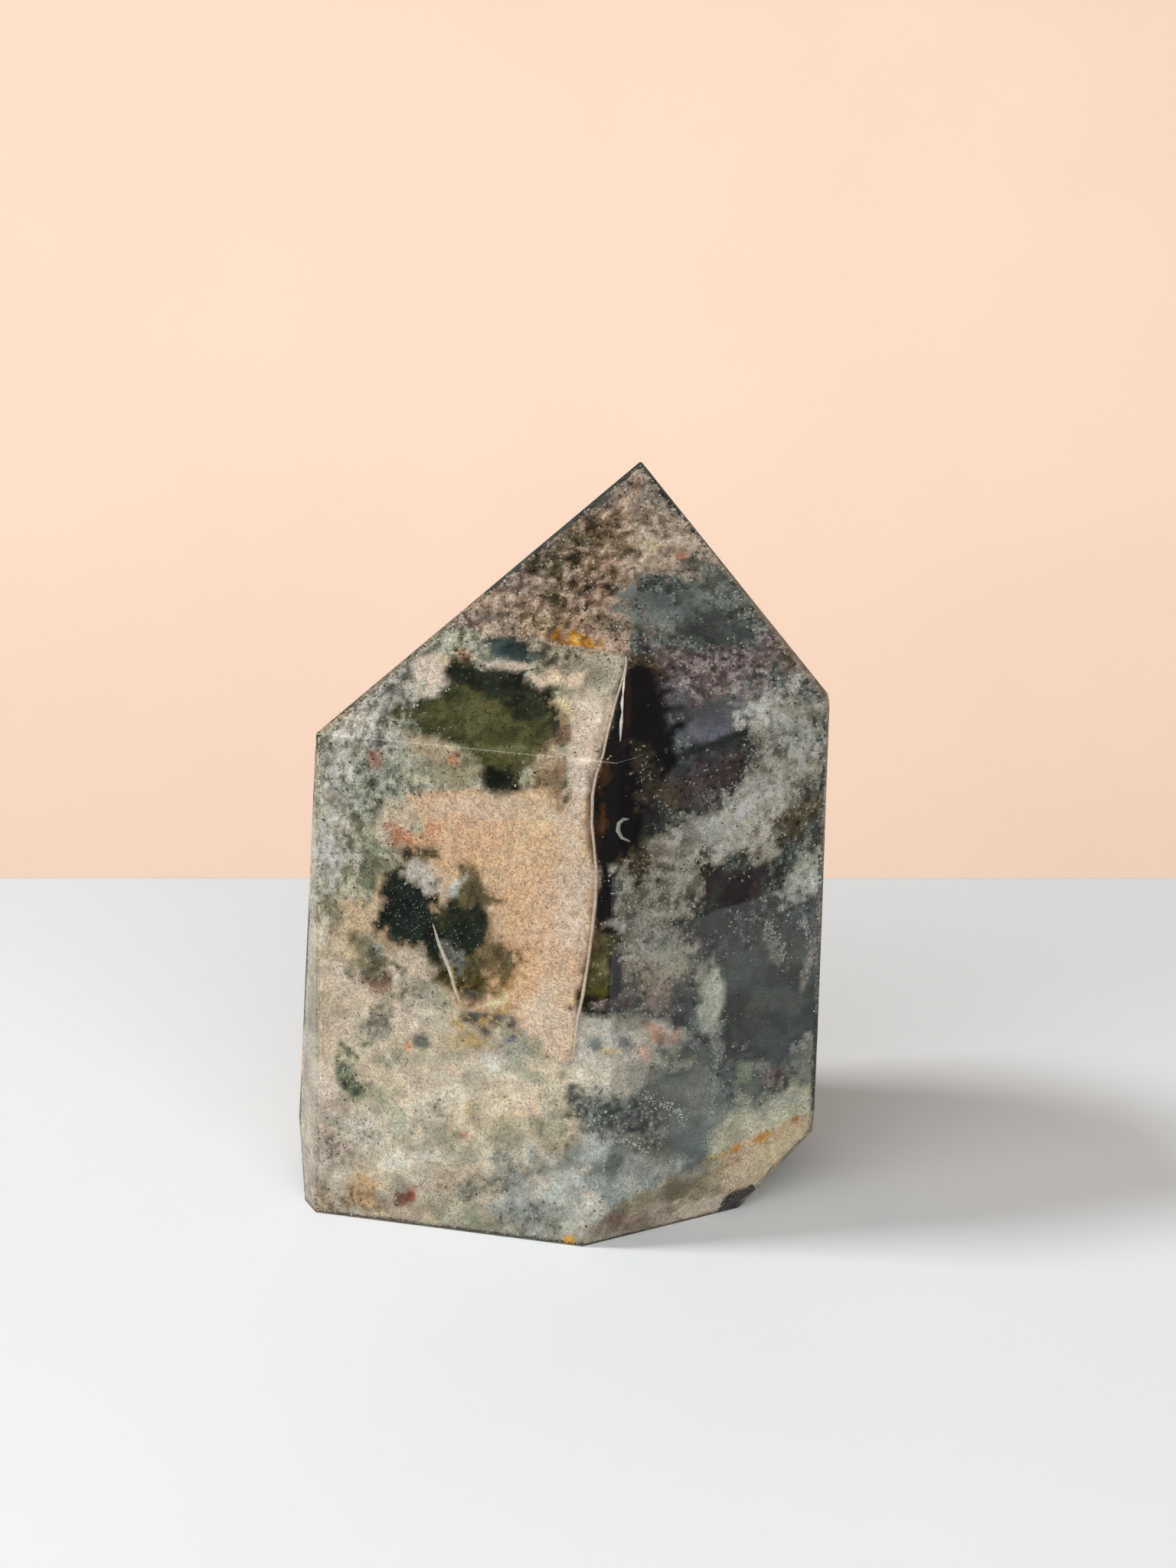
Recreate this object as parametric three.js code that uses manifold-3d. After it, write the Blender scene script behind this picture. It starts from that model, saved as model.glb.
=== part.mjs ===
// Garden quartz tower
// One free-standing point of clear quartz, sawn flat at the foot and ground to flat
// faces all round. Lengths are in millimetres, angles in degrees, and +Z is up.
// The origin is the middle of the outline on the table, and the front looks along -Y.

import * as THREE from 'three';
import { mergeVertices } from 'three/addons/utils/BufferGeometryUtils.js';
import Module from 'manifold-3d';

// Height and the place of the tip, which stands right of the middle
const TOWER_HEIGHT = 53;
const TIP_RIGHT = 5.87;
const TIP_FORWARD = 0.15;

// The rough block that the faces are ground into. What grinding takes off at each face is
// a large pyramid, measured from its middle to its corners.
const ROUGH_WIDTH = 60;
const ROUGH_HEIGHT = 60;
const WASTE_RADIUS = 400;

// Every face is given by three numbers.
// turn: which way it looks, from the front (0) round to the right (90) and back (180).
// lean: how far it looks up, or down where the number is negative.
// reach: how far it stands from the upright axis, measured on the table.

// Upright faces of the six-sided column
const COLUMN_FACES = {
  frontLeft: { turn: -16.5, lean: 2.2, reach: 14.03 },
  frontRight: { turn: 22.9, lean: 1, reach: 15.54 },
  right: { turn: 93, lean: -1.1, reach: 17.7 },
  backRight: { turn: 147, lean: 1, reach: 14.45 },
  backLeft: { turn: -151, lean: 2, reach: 12.21 },
  left: { turn: -94, lean: 4.3, reach: 18.66 },
};

// Narrow faces ground along the two outer edges: the left one widens towards the foot,
// and the right one runs out half-way down
const EDGE_FACES = {
  leftEdge: { turn: -66, lean: 2, reach: 19.75 },
  rightEdge: { turn: 66, lean: 0.4, reach: 20.64 },
};

// Faces that undercut the foot: a broad one at the front right, a steep one at the right
// corner, and a slight one at the left corner
const FOOT_FACES = {
  frontRightFoot: { turn: 29.8, lean: -20.3, reach: 14.02 },
  rightFoot: { turn: 78, lean: -41.1, reach: 14.53 },
  leftFoot: { turn: -84, lean: -2.2, reach: 18.98 },
};

// Faces of the point, which all meet at the tip
const POINT_FACES = {
  pointFrontLeft: { turn: -15.9, lean: 39 },
  pointFrontRight: { turn: 16.8, lean: 37 },
  pointRightEdge: { turn: 72, lean: 43.8 },
  pointRight: { turn: 103, lean: 36.6 },
  pointBackRight: { turn: 158, lean: 39 },
  pointBackLeft: { turn: -165, lean: 40 },
  pointLeft: { turn: -112, lean: 45.7 },
};

// Finish of the polished stone
const STONE_COLOUR = 0x8f8979;
const STONE_ROUGHNESS = 0.08;

const wasm = await Module();
wasm.setup();

// Turns a closed three.js geometry into a solid.
function toSolid(geometry) {
  const bare = geometry.clone();
  bare.deleteAttribute('normal');
  bare.deleteAttribute('uv');
  const merged = mergeVertices(bare);
  const mesh = new wasm.Mesh({
    numProp: 3,
    vertProperties: new Float32Array(merged.attributes.position.array),
    triVerts: new Uint32Array(merged.index.array),
  });
  return new wasm.Manifold(mesh);
}

// Turns a solid back into a three.js geometry, in which every face keeps its own corners
// and so looks flat.
function toGeometry(solid) {
  const mesh = solid.getMesh();
  const shared = new THREE.BufferGeometry();
  shared.setAttribute('position', new THREE.BufferAttribute(mesh.vertProperties, 3));
  shared.setIndex(new THREE.BufferAttribute(mesh.triVerts, 1));
  const faceted = shared.toNonIndexed();
  faceted.computeVertexNormals();
  return faceted;
}

// The direction in which a face looks.
function outward({ turn, lean }) {
  const turnAngle = THREE.MathUtils.degToRad(turn);
  const leanAngle = THREE.MathUtils.degToRad(lean);
  return new THREE.Vector3(
    Math.sin(turnAngle) * Math.cos(leanAngle),
    -Math.cos(turnAngle) * Math.cos(leanAngle),
    Math.sin(leanAngle),
  );
}

// A point on a face: level with the table for an upright face, the tip for the others.
function pointOn(face) {
  if (face.reach === undefined) {
    return new THREE.Vector3(TIP_RIGHT, -TIP_FORWARD, TOWER_HEIGHT);
  }
  const turnAngle = THREE.MathUtils.degToRad(face.turn);
  return new THREE.Vector3(
    Math.sin(turnAngle) * face.reach,
    -Math.cos(turnAngle) * face.reach,
    0,
  );
}

// The stone that grinding a face takes away: a three-sided pyramid standing outwards, with
// its one flat foot lying on the face.
function wasteBeyond(face) {
  const normal = outward(face);
  const peak = new THREE.Vector3(1, 1, 1).normalize();
  const facing = new THREE.Quaternion().setFromUnitVectors(peak, normal);
  const centre = pointOn(face).addScaledVector(normal, WASTE_RADIUS / 3);
  const pyramid = new THREE.TetrahedronGeometry(WASTE_RADIUS);
  pyramid.applyQuaternion(facing);
  pyramid.translate(centre.x, centre.y, centre.z);
  return toSolid(pyramid);
}

// The rough block, standing on the table and a little taller than the tower.
function roughBlock() {
  const block = new THREE.BoxGeometry(ROUGH_WIDTH, ROUGH_WIDTH, ROUGH_HEIGHT);
  block.translate(0, 0, ROUGH_HEIGHT / 2);
  return toSolid(block);
}

// Grinds the rough block to the column, its bevels and its point.
function grindTower() {
  let stone = roughBlock();
  for (const faces of [COLUMN_FACES, EDGE_FACES, FOOT_FACES, POINT_FACES]) {
    for (const face of Object.values(faces)) {
      stone = stone.subtract(wasteBeyond(face));
    }
  }
  return toGeometry(stone);
}

const polishedQuartz = new THREE.MeshStandardMaterial({
  color: STONE_COLOUR,
  roughness: STONE_ROUGHNESS,
  metalness: 0,
});

const tower = new THREE.Mesh(grindTower(), polishedQuartz);
tower.name = 'quartz_tower';

const gardenQuartzTower = new THREE.Group();
gardenQuartzTower.add(tower);

export default gardenQuartzTower;
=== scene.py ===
"""A garden quartz tower: a polished point of clear quartz with sand, moss and frost inside it."""

import itertools
import logging
import math
from collections.abc import Iterator
from contextlib import contextmanager
from dataclasses import dataclass
from enum import Enum
from functools import partial

import bpy
import numpy as np
from mathutils import Matrix, Vector


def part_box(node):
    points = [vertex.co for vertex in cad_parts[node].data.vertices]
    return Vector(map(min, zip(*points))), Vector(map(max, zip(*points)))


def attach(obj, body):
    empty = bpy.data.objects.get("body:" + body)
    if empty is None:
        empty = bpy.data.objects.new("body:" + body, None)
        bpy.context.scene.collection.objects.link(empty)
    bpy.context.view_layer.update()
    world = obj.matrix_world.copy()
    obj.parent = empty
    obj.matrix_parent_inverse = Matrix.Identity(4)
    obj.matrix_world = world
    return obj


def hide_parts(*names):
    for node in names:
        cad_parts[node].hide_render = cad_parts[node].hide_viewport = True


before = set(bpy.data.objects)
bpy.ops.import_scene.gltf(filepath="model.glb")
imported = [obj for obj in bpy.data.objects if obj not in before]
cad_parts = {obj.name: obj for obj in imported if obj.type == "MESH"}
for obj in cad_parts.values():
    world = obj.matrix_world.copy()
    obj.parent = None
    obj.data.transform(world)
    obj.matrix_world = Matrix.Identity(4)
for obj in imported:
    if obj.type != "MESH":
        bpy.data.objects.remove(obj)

logging.basicConfig(level=logging.INFO, format="%(message)s")
LOG = logging.getLogger("quartz_tower")

MM = 0.001
STONE_NODE = "quartz_tower"
BODY = "root"
QUARTZ_INDEX = 1.54
WHITE = (1.0, 1.0, 1.0, 1.0)
WELD = 1e-6

# A face whose outward normal points down more than this is the flat foot.
FOOT_SLOPE = -0.99

# Large primes that scatter the corners of the noise lattice.
CORNER_PRIMES = (73856093, 19349663, 83492791)
SEED_PRIME = 2654435761
MIXING_PRIME = 1274126177
LOW_32_BITS = 0xFFFFFFFF
LOW_16_BITS = 0xFFFF

Array = np.ndarray
Point2 = tuple[float, float]


class Tint(Enum):
    """Colours of the inclusions as seen through the polish; on clear parts, partly painted shade."""

    PEACH = "c79d7c"
    APRICOT = "d09a74"
    ROSE_SAND = "c4ab96"
    LILAC_SAND = "b3a090"
    BISQUE = "c4ab94"
    BUTTER = "c9b285"
    OATMEAL = "b8ab92"
    CHALK = "bfb6a4"
    TAN = "b39b7c"
    PUTTY = "8f8b7e"
    ASH = "948a78"
    MAUVE_GREY = "a69382"
    PINK_GRIT = "907664"
    OLIVE_GRIT = "4d4432"
    OXBLOOD = "4c2c20"
    UMBER = "5a4536"
    OCHRE = "c79a4c"
    AMBER = "94601f"
    RUST = "c26c4c"
    EMBER = "a04c2c"
    FLAME = "d8862e"
    OLIVE = "3f3f24"
    DEEP_MOSS = "1c2218"
    PINE = "121c18"
    LICHEN = "55604a"
    SAGE = "888a76"
    KHAKI = "7d7355"
    SLATE = "404644"
    STEEL = "4a4c52"
    GREEN_SLATE = "464d49"
    PEWTER = "5b605a"
    TEAL_GREY = "38484a"
    PLUM = "322b30"
    INK = "070508"
    HEATHER = "6e6262"
    HOAR = "a8a79c"
    SNOW = "dcd8cc"
    MIST = "9aa29e"
    CELADON = "8c9388"


def seen_colour(tint: Tint) -> Array:
    """Linear colour of a tint, which is sRGB, as the eye sees it through the polish."""
    channels = [int(tint.value[i:i + 2], 16) / 255 for i in (0, 2, 4)]
    return np.array([c / 12.92 if c < 0.04045 else ((c + 0.055) / 1.055) ** 2.4 for c in channels])


def buried_colour(seen: Array) -> Array:
    """Colour that a grain inside quartz needs to look like the seen colour.

    Light that the quartz turns back inside the stone meets the grain again, which deepens its colour.

    Args:
        seen: linear colours as seen from outside, in rows of three.

    Returns:
        The grains' own colours, in rows of three.
    """
    passed = 0.36
    turned_back = 0.6
    warmth = np.array((1.04, 1.0, 0.94))
    palest = 0.92
    warmed = seen * warmth
    return np.clip(warmed / (passed + turned_back * warmed), 0.0, palest)


def smooth_step(low: float, high: float, value: Array) -> Array:
    """Goes smoothly from 0 at low to 1 at high."""
    t = np.clip((value - low) / (high - low), 0.0, 1.0)
    return t * t * (3 - 2 * t)


def lattice_noise(points: Array, cell: float, seed: int) -> Array:
    """Smooth random values in space.

    Args:
        points: places, in rows of three.
        cell: size of one wave, in the same unit.
        seed: which of the endless patterns to take.

    Returns:
        One value from 0 to 1 for each place.
    """
    scaled = points / cell
    corner = np.floor(scaled).astype(np.int64)
    inside = scaled - corner
    inside = inside * inside * (3 - 2 * inside)
    total = np.zeros(len(points))
    for step in itertools.product((0, 1), repeat=3):
        x, y, z = ((corner + step) * CORNER_PRIMES).T
        mixed = (x ^ y ^ z ^ seed * SEED_PRIME) & LOW_32_BITS
        mixed = ((mixed ^ (mixed >> 13)) * MIXING_PRIME) & LOW_32_BITS
        value = ((mixed ^ (mixed >> 16)) & LOW_16_BITS) / LOW_16_BITS
        share = np.prod(np.where(step, inside, 1 - inside), axis=1)
        total += value * share
    return total


def cloudy_noise(points: Array, cell: float, seed: int, octaves: int = 3) -> Array:
    """Lattice noise in several sizes, from 0 to 1, for uneven natural edges."""
    seed_step = 17
    weights = [0.5 ** octave for octave in range(octaves)]
    total = np.zeros(len(points))
    for octave, weight in enumerate(weights):
        total += weight * lattice_noise(points, cell * weight, seed + seed_step * octave)
    return total / sum(weights)


@contextmanager
def editing() -> Iterator[None]:
    """Edits the active mesh with all of it selected, then leaves edit mode."""
    bpy.ops.object.mode_set(mode="EDIT")
    bpy.ops.mesh.select_all(action="SELECT")
    yield
    bpy.ops.object.mode_set(mode="OBJECT")


def close_seams() -> None:
    """Welds the doubled points of the mesh that is being edited and turns its faces outwards."""
    bpy.ops.mesh.select_all(action="SELECT")
    bpy.ops.mesh.remove_doubles(threshold=WELD)
    bpy.ops.mesh.normals_make_consistent(inside=False)


def add_block(name: str, middle: Vector, size: Vector,
              turn: tuple[float, float, float] = (0.0, 0.0, 0.0)) -> bpy.types.Object:
    """Adds a plain block and makes it the only selected object.

    Args:
        name: the block's name.
        middle: its middle, in metres.
        size: its sides, in metres.
        turn: its turn about each axis, in radians.

    Returns:
        The block, unturned and unscaled, with its shape in the mesh.
    """
    bpy.ops.object.select_all(action="DESELECT")
    bpy.ops.mesh.primitive_cube_add(size=1, location=middle, rotation=turn, scale=size)
    block = bpy.context.object
    block.name = name
    bpy.ops.object.transform_apply(location=True, rotation=True, scale=True)
    return block


def between_stations(values: Array, stations: Array, at: Array) -> Array:
    """Blends rows of values, given at stations along a path, at other places along it."""
    return np.stack([np.interp(at, stations, column) for column in values.T], axis=1)


@dataclass(frozen=True)
class Facet:
    """One flat polished face: all points whose dot product with normal is reach."""

    normal: tuple[float, float, float]
    reach: float


@dataclass(frozen=True)
class FrontView:
    """The camera's place and lens, and how the stone looks through them.

    Places are in millimetres, and what is seen is given in pixels of the upright frame.
    """

    place: tuple[float, float, float] = (2.188, -238.254, 106.69)
    pitch_degrees: float = 18.0
    focal_pixels: float = 4555.0
    frame_pixels: tuple[int, int] = (1536, 2048)
    sensor_mm: float = 36.0

    def axes(self) -> tuple[Array, Array, Array]:
        """Directions to the right, up and forwards, as seen."""
        pitch = math.radians(self.pitch_degrees)
        right = np.array([1.0, 0.0, 0.0])
        up = np.array([0.0, math.sin(pitch), math.cos(pitch)])
        forwards = np.array([0.0, math.cos(pitch), -math.sin(pitch)])
        return right, up, forwards

    def pixels(self, points: Array) -> Array:
        """Where each point is seen, in pixels, in rows of two."""
        right, up, forwards = self.axes()
        away = points - np.array(self.place)
        distance = away @ forwards
        across = self.frame_pixels[0] / 2 + self.focal_pixels * (away @ right) / distance
        down = self.frame_pixels[1] / 2 - self.focal_pixels * (away @ up) / distance
        return np.stack([across, down], axis=1)

    def sight(self, pixels: Array) -> Array:
        """Direction from the camera through each pixel, in rows of three."""
        right, up, forwards = self.axes()
        across = (pixels[:, 0:1] - self.frame_pixels[0] / 2) / self.focal_pixels
        down = (pixels[:, 1:2] - self.frame_pixels[1] / 2) / self.focal_pixels
        line = forwards + across * right - down * up
        return line / np.linalg.norm(line, axis=1, keepdims=True)

    def bent(self, sight: Array, normals: Array) -> Array:
        """Directions of sight after they bend into the quartz.

        Args:
            sight: directions before the face, in rows of three.
            normals: the faces' outward normals, in rows of three.

        Returns:
            Directions inside the stone, in rows of three.
        """
        ratio = 1 / QUARTZ_INDEX
        head_on = -np.sum(sight * normals, axis=1, keepdims=True)
        inner = np.sqrt(np.clip(1 - ratio ** 2 * (1 - head_on ** 2), 0.0, 1.0))
        return ratio * sight + (ratio * head_on - inner) * normals

    def make_camera(self) -> None:
        """Adds the camera and makes it the scene's own."""
        bpy.ops.object.camera_add(
            location=Vector(self.place) * MM,
            rotation=(math.radians(90 - self.pitch_degrees), 0, 0),
        )
        camera = bpy.context.object
        camera.data.lens = self.focal_pixels / self.frame_pixels[1] * self.sensor_mm
        camera.data.sensor_width = self.sensor_mm
        camera.data.clip_start = 10 * MM
        bpy.context.scene.camera = camera


class Stone:
    """The ground stone as the frame gives it: its flat faces and its box."""

    def __init__(self, node: bpy.types.Object) -> None:
        """Reads the flat faces off the node's mesh.

        Args:
            node: the frame's own object, in metres.
        """
        self.facets = self.read_facets(node)
        self.normals = np.array([f.normal for f in self.facets])
        self.reaches = np.array([f.reach for f in self.facets])
        low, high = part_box(STONE_NODE)
        self.low = np.array(low) / MM
        self.high = np.array(high) / MM

    @staticmethod
    def read_facets(node: bpy.types.Object) -> list[Facet]:
        """Gathers the triangles of the node into flat faces, in millimetres."""
        alike = 0.9999
        found: list[tuple[float, Facet]] = []
        for triangle in sorted(node.data.polygons, key=lambda p: -p.area):
            corners = [node.data.vertices[i].co for i in triangle.vertices]
            normal = (corners[1] - corners[0]).cross(corners[2] - corners[0]).normalized()
            if any(normal.dot(Vector(facet.normal)) > alike for _, facet in found):
                continue
            found.append((triangle.area, Facet(tuple(normal), normal.dot(corners[0]) / MM)))
        return [facet for _, facet in found]

    def depths(self, points: Array) -> Array:
        """How deep each point lies under every face, in millimetres, in one row for each point."""
        return self.reaches - points @ self.normals.T

    def under(self, points: Array) -> tuple[Array, Array]:
        """Finds the face that each point lies nearest to, with the foot's flat face taken last.

        Args:
            points: places in the stone, in millimetres, in rows of three.

        Returns:
            The faces' numbers, and the points' depths under them in millimetres.
        """
        foot_waits = 1.2
        depths = self.depths(points)
        nearest = np.argmin(depths + np.where(self.normals[:, 2] < FOOT_SLOPE, foot_waits, 0.0), axis=1)
        return nearest, depths[np.arange(len(points)), nearest]

    def elbow_room(self, points: Array) -> Array:
        """How far each point lies under the face that is second nearest to it, in millimetres."""
        return np.sort(self.depths(points), axis=1)[:, 1]

    def holds(self, points: Array, margin: float) -> Array:
        """Which of the points lie inside every face by at least the margin, in millimetres."""
        return np.min(self.depths(points), axis=1) > margin

    def grind(self, inset: float, foot_inset: float) -> None:
        """Grinds the mesh that is being edited to the stone's faces, each set inwards.

        Args:
            inset: how far inside each face to grind, in millimetres.
            foot_inset: the same for the face that it stands on.
        """
        hair = 1e-7
        for facet in self.facets:
            normal = Vector(facet.normal)
            inwards = foot_inset if normal.z < FOOT_SLOPE else inset
            bpy.ops.mesh.select_all(action="SELECT")
            bpy.ops.mesh.bisect(
                plane_co=normal * (facet.reach - inwards) * MM,
                plane_no=normal,
                use_fill=True,
                clear_outer=True,
                threshold=hair,
            )

    def inset_solid(self, name: str, inset: float, foot_inset: float = 0.0) -> bpy.types.Object:
        """Grinds a block to the stone's faces, each set inwards.

        Args:
            name: the new object's name.
            inset: how far inside each face the new one lies, in millimetres.
            foot_inset: the same for the face that it stands on.

        Returns:
            The ground solid.
        """
        oversize = 1.2
        middle = Vector((self.low + self.high) / 2) * MM
        solid = add_block(name, middle, Vector(self.high - self.low) * MM * oversize)
        with editing():
            self.grind(inset, foot_inset)
            close_seams()
        return solid


class Kind(Enum):
    """What an inclusion is made of, which decides how its grains look."""

    SAND = 0
    SILT = 1
    GRIT = 2
    MOSS = 3
    FROST = 4
    # Clear quartz seen deep down: its dark tones are partly painted shade, the darkness seen into the
    # stone.
    CLEAR = 5
    RUST = 6


@dataclass(frozen=True)
class Patch:
    """A soft oval of one inclusion, placed where it is seen from the front, in pixels.

    It lies depth millimetres under the polish and is tilted by degrees. Soft is the width of its edge
    and ragged how much the edge frays, in shares of its size. Shade lightens or darkens the tint.
    """

    kind: Kind
    tint: Tint
    at: Point2
    half: Point2
    depth: float
    tilt: float = 0.0
    soft: float = 0.6
    ragged: float = 0.35
    shade: float = 1.0
    strength: float = 1.0

    def extent(self) -> tuple[Array, Array]:
        """The lowest and highest pixels that it may reach."""
        furthest_fray = 1.7
        reach = furthest_fray * max(self.half)
        return np.array(self.at) - reach, np.array(self.at) + reach

    def cover(self, seen: Array, warp: Array, noise: Array) -> Array:
        """How much of the patch lies at each place, from 0 to 1.

        Args:
            seen: where each place is seen, in pixels.
            warp: uneven shifts from -1 to 1 that bend its outline, in rows of two.
            noise: uneven values from -1 to 1 that fray its edge.

        Returns:
            The share of the patch at each place.
        """
        least_bend = 8
        angle = math.radians(self.tilt)
        bend = self.ragged * (least_bend + 0.5 * min(self.half))
        x, y = (seen + bend * warp - np.array(self.at)).T
        along = (x * math.cos(angle) + y * math.sin(angle)) / self.half[0]
        across = (y * math.cos(angle) - x * math.sin(angle)) / self.half[1]
        radius = np.hypot(along, across) + self.ragged * noise
        return self.strength * smooth_step(1 + self.soft / 2, 1 - self.soft / 2, radius)


@dataclass(frozen=True)
class Sheet:
    """A large area of one inclusion with a drawn outline, in pixels as seen from the front.

    It lies depth millimetres under the polish. Soft and ragged are in pixels.
    """

    kind: Kind
    tint: Tint
    outline: tuple[Point2, ...]
    depth: float
    soft: float
    ragged: float
    shade: float = 1.0
    strength: float = 1.0

    def extent(self) -> tuple[Array, Array]:
        """The lowest and highest pixels of its outline."""
        corners = np.array(self.outline)
        return corners.min(axis=0), corners.max(axis=0)

    def cover(self, seen: Array, warp: Array, noise: Array) -> Array:
        """How much of the sheet lies at each place, from 0 to 1.

        Args:
            seen: where each place is seen, in pixels.
            warp: uneven shifts from -1 to 1 that bend its outline, in rows of two.
            noise: uneven values from -1 to 1 that fray its edge.

        Returns:
            The share of the sheet at each place.
        """
        corners = np.array(self.outline, float)
        seen = seen + self.ragged * warp
        nearest = np.full(len(seen), np.inf)
        inside = np.zeros(len(seen), bool)
        for start, end in zip(corners, np.roll(corners, -1, axis=0)):
            side = end - start
            along = np.clip((seen - start) @ side / (side @ side), 0, 1)
            nearest = np.minimum(nearest, np.linalg.norm(seen - start - along[:, None] * side, axis=1))
            crosses = (start[1] > seen[:, 1]) != (end[1] > seen[:, 1])
            rise = side[1] if side[1] else 1.0
            inside ^= crosses & (seen[:, 0] < start[0] + (seen[:, 1] - start[1]) * side[0] / rise)
        within = np.where(inside, nearest, -nearest) + self.ragged * noise
        return self.strength * smooth_step(-self.soft, self.soft, within)


# One short name for a patch of each kind, in the order of Kind.
sand, silt, grit, moss, frost, clear, rust = (partial(Patch, kind) for kind in Kind)


SAND_RIM: tuple[Point2, ...] = (
    (819, 850), (815, 880), (803, 920), (794, 955), (788, 985), (779, 1012), (774, 1040),
    (773, 1075), (776, 1105), (779, 1140), (777, 1180), (773, 1216), (768, 1257), (761, 1300),
    (754, 1330), (748, 1384),
)

TOP_SHEETS: tuple[Sheet | Patch, ...] = (
    Sheet(Kind.GRIT, Tint.GREEN_SLATE, ((845, 860), (1095, 905), (1080, 1260), (1070, 1395),
          (748, 1395), (765, 1300), (780, 1200), (776, 1100), (790, 1000)), 1.6, 3, 2),
    Sheet(Kind.SILT, Tint.PEWTER, ((745, 1388), (1075, 1380), (1070, 1460), (787, 1600), (744, 1540)),
          1.3, 12, 14, shade=1.05),
    Sheet(Kind.GRIT, Tint.PINK_GRIT, ((845, 590), (540, 826), (560, 838), (640, 834), (700, 838),
          (760, 850), (824, 856), (832, 760), (838, 640)), 0.5, 3, 3, shade=1.22),
    # Painted light: the point's right face gets little lamp light, so the tints laid on it are lifted
    # with shade above 1.
    Sheet(Kind.GRIT, Tint.GREEN_SLATE, ((837, 590), (1090, 915), (1000, 1000), (870, 1010), (848, 900),
          (822, 850), (828, 720)), 1.0, 6, 6, shade=1.22),
    Sheet(Kind.GRIT, Tint.MAUVE_GREY, ((837, 590), (862, 618), (955, 742), (915, 746), (872, 752),
          (832, 742), (828, 700)), 0.5, 7, 10, shade=1.06),
    grit(Tint.PEWTER, (856, 652), (10, 22), 0.6, -40, ragged=0.8, strength=0.6),
    grit(Tint.PEWTER, (880, 668), (12, 10), 0.6, ragged=0.8, strength=0.6),
    grit(Tint.PEWTER, (790, 655), (62, 17), 0.45, -40, shade=0.8, strength=0.8),
    grit(Tint.OLIVE_GRIT, (745, 700), (48, 14), 0.5, -40, ragged=0.9, strength=0.8),
    grit(Tint.MAUVE_GREY, (868, 706), (40, 26), 0.4, 10, ragged=0.6, shade=1.16),
    grit(Tint.OLIVE_GRIT, (716, 758), (40, 24), 0.8, -24, ragged=1.0),
    grit(Tint.OLIVE_GRIT, (804, 715), (24, 30), 0.8, ragged=1.0, strength=0.9),
    grit(Tint.OXBLOOD, (785, 772), (24, 12), 0.8, ragged=1.0, strength=0.7),
    grit(Tint.OLIVE_GRIT, (776, 806), (46, 15), 0.8, 8, ragged=1.0, strength=0.8),
    grit(Tint.ROSE_SAND, (690, 803), (26, 12), 0.7, -20, ragged=0.8, shade=0.72),
    grit(Tint.TAN, (718, 820), (26, 13), 0.7, 12, ragged=0.9, shade=0.84),
    rust(Tint.AMBER, (760, 838), (24, 9), 0.7, 10, ragged=0.6),
    rust(Tint.OCHRE, (750, 834), (5, 3), 0.7, 10, ragged=0.6, strength=0.6),
    grit(Tint.MAUVE_GREY, (624, 808), (60, 18), 0.6, -34, ragged=0.9, shade=0.86),
    silt(Tint.MAUVE_GREY, (584, 817), (9, 8), 0.5, -38, soft=0.3, ragged=0.1),
    sand(Tint.BUTTER, (849, 711), (8, 8), 0.7, shade=1.1),
    sand(Tint.BISQUE, (858, 734), (15, 8), 0.8, 10, shade=0.9),
    rust(Tint.RUST, (896, 727), (14, 9), 0.6, 10, ragged=0.9, shade=1.2, strength=0.45),
    rust(Tint.RUST, (892, 724), (6, 5), 0.5, shade=1.15, strength=0.6),
    grit(Tint.PEWTER, (926, 752), (24, 18), 1.0, 20, ragged=0.6, shade=1.15),
    grit(Tint.HEATHER, (848, 806), (24, 26), 1.2, ragged=0.6, shade=0.95),
    clear(Tint.SLATE, (905, 790), (52, 24), 1.8, ragged=0.8, shade=1.42),
    frost(Tint.CELADON, (873, 821), (9, 8), 1.4, -30, strength=0.8),
    clear(Tint.SLATE, (938, 828), (44, 22), 2.4, 40, ragged=0.5, shade=0.9),
    grit(Tint.HEATHER, (926, 880), (68, 30), 0.9, 6, ragged=0.7, shade=1.15),
    grit(Tint.HEATHER, (1010, 862), (38, 34), 1.0, 45, ragged=0.6, shade=1.1),
    clear(Tint.PLUM, (846, 886), (24, 36), 2.0, soft=0.8, ragged=0.5),
    grit(Tint.UMBER, (856, 868), (16, 14), 2.0, ragged=0.7, strength=0.6),
    clear(Tint.STEEL, (932, 944), (58, 32), 2.0, -8, ragged=0.25),
    clear(Tint.TEAL_GREY, (888, 915), (10, 14), 2.2, strength=0.6),
    clear(Tint.SLATE, (930, 974), (60, 7), 2.4, -18, soft=0.7, ragged=0.25, shade=0.55),
    grit(Tint.ASH, (1030, 850), (26, 14), 1.0, 50, ragged=0.6, shade=0.8),
)

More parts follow.
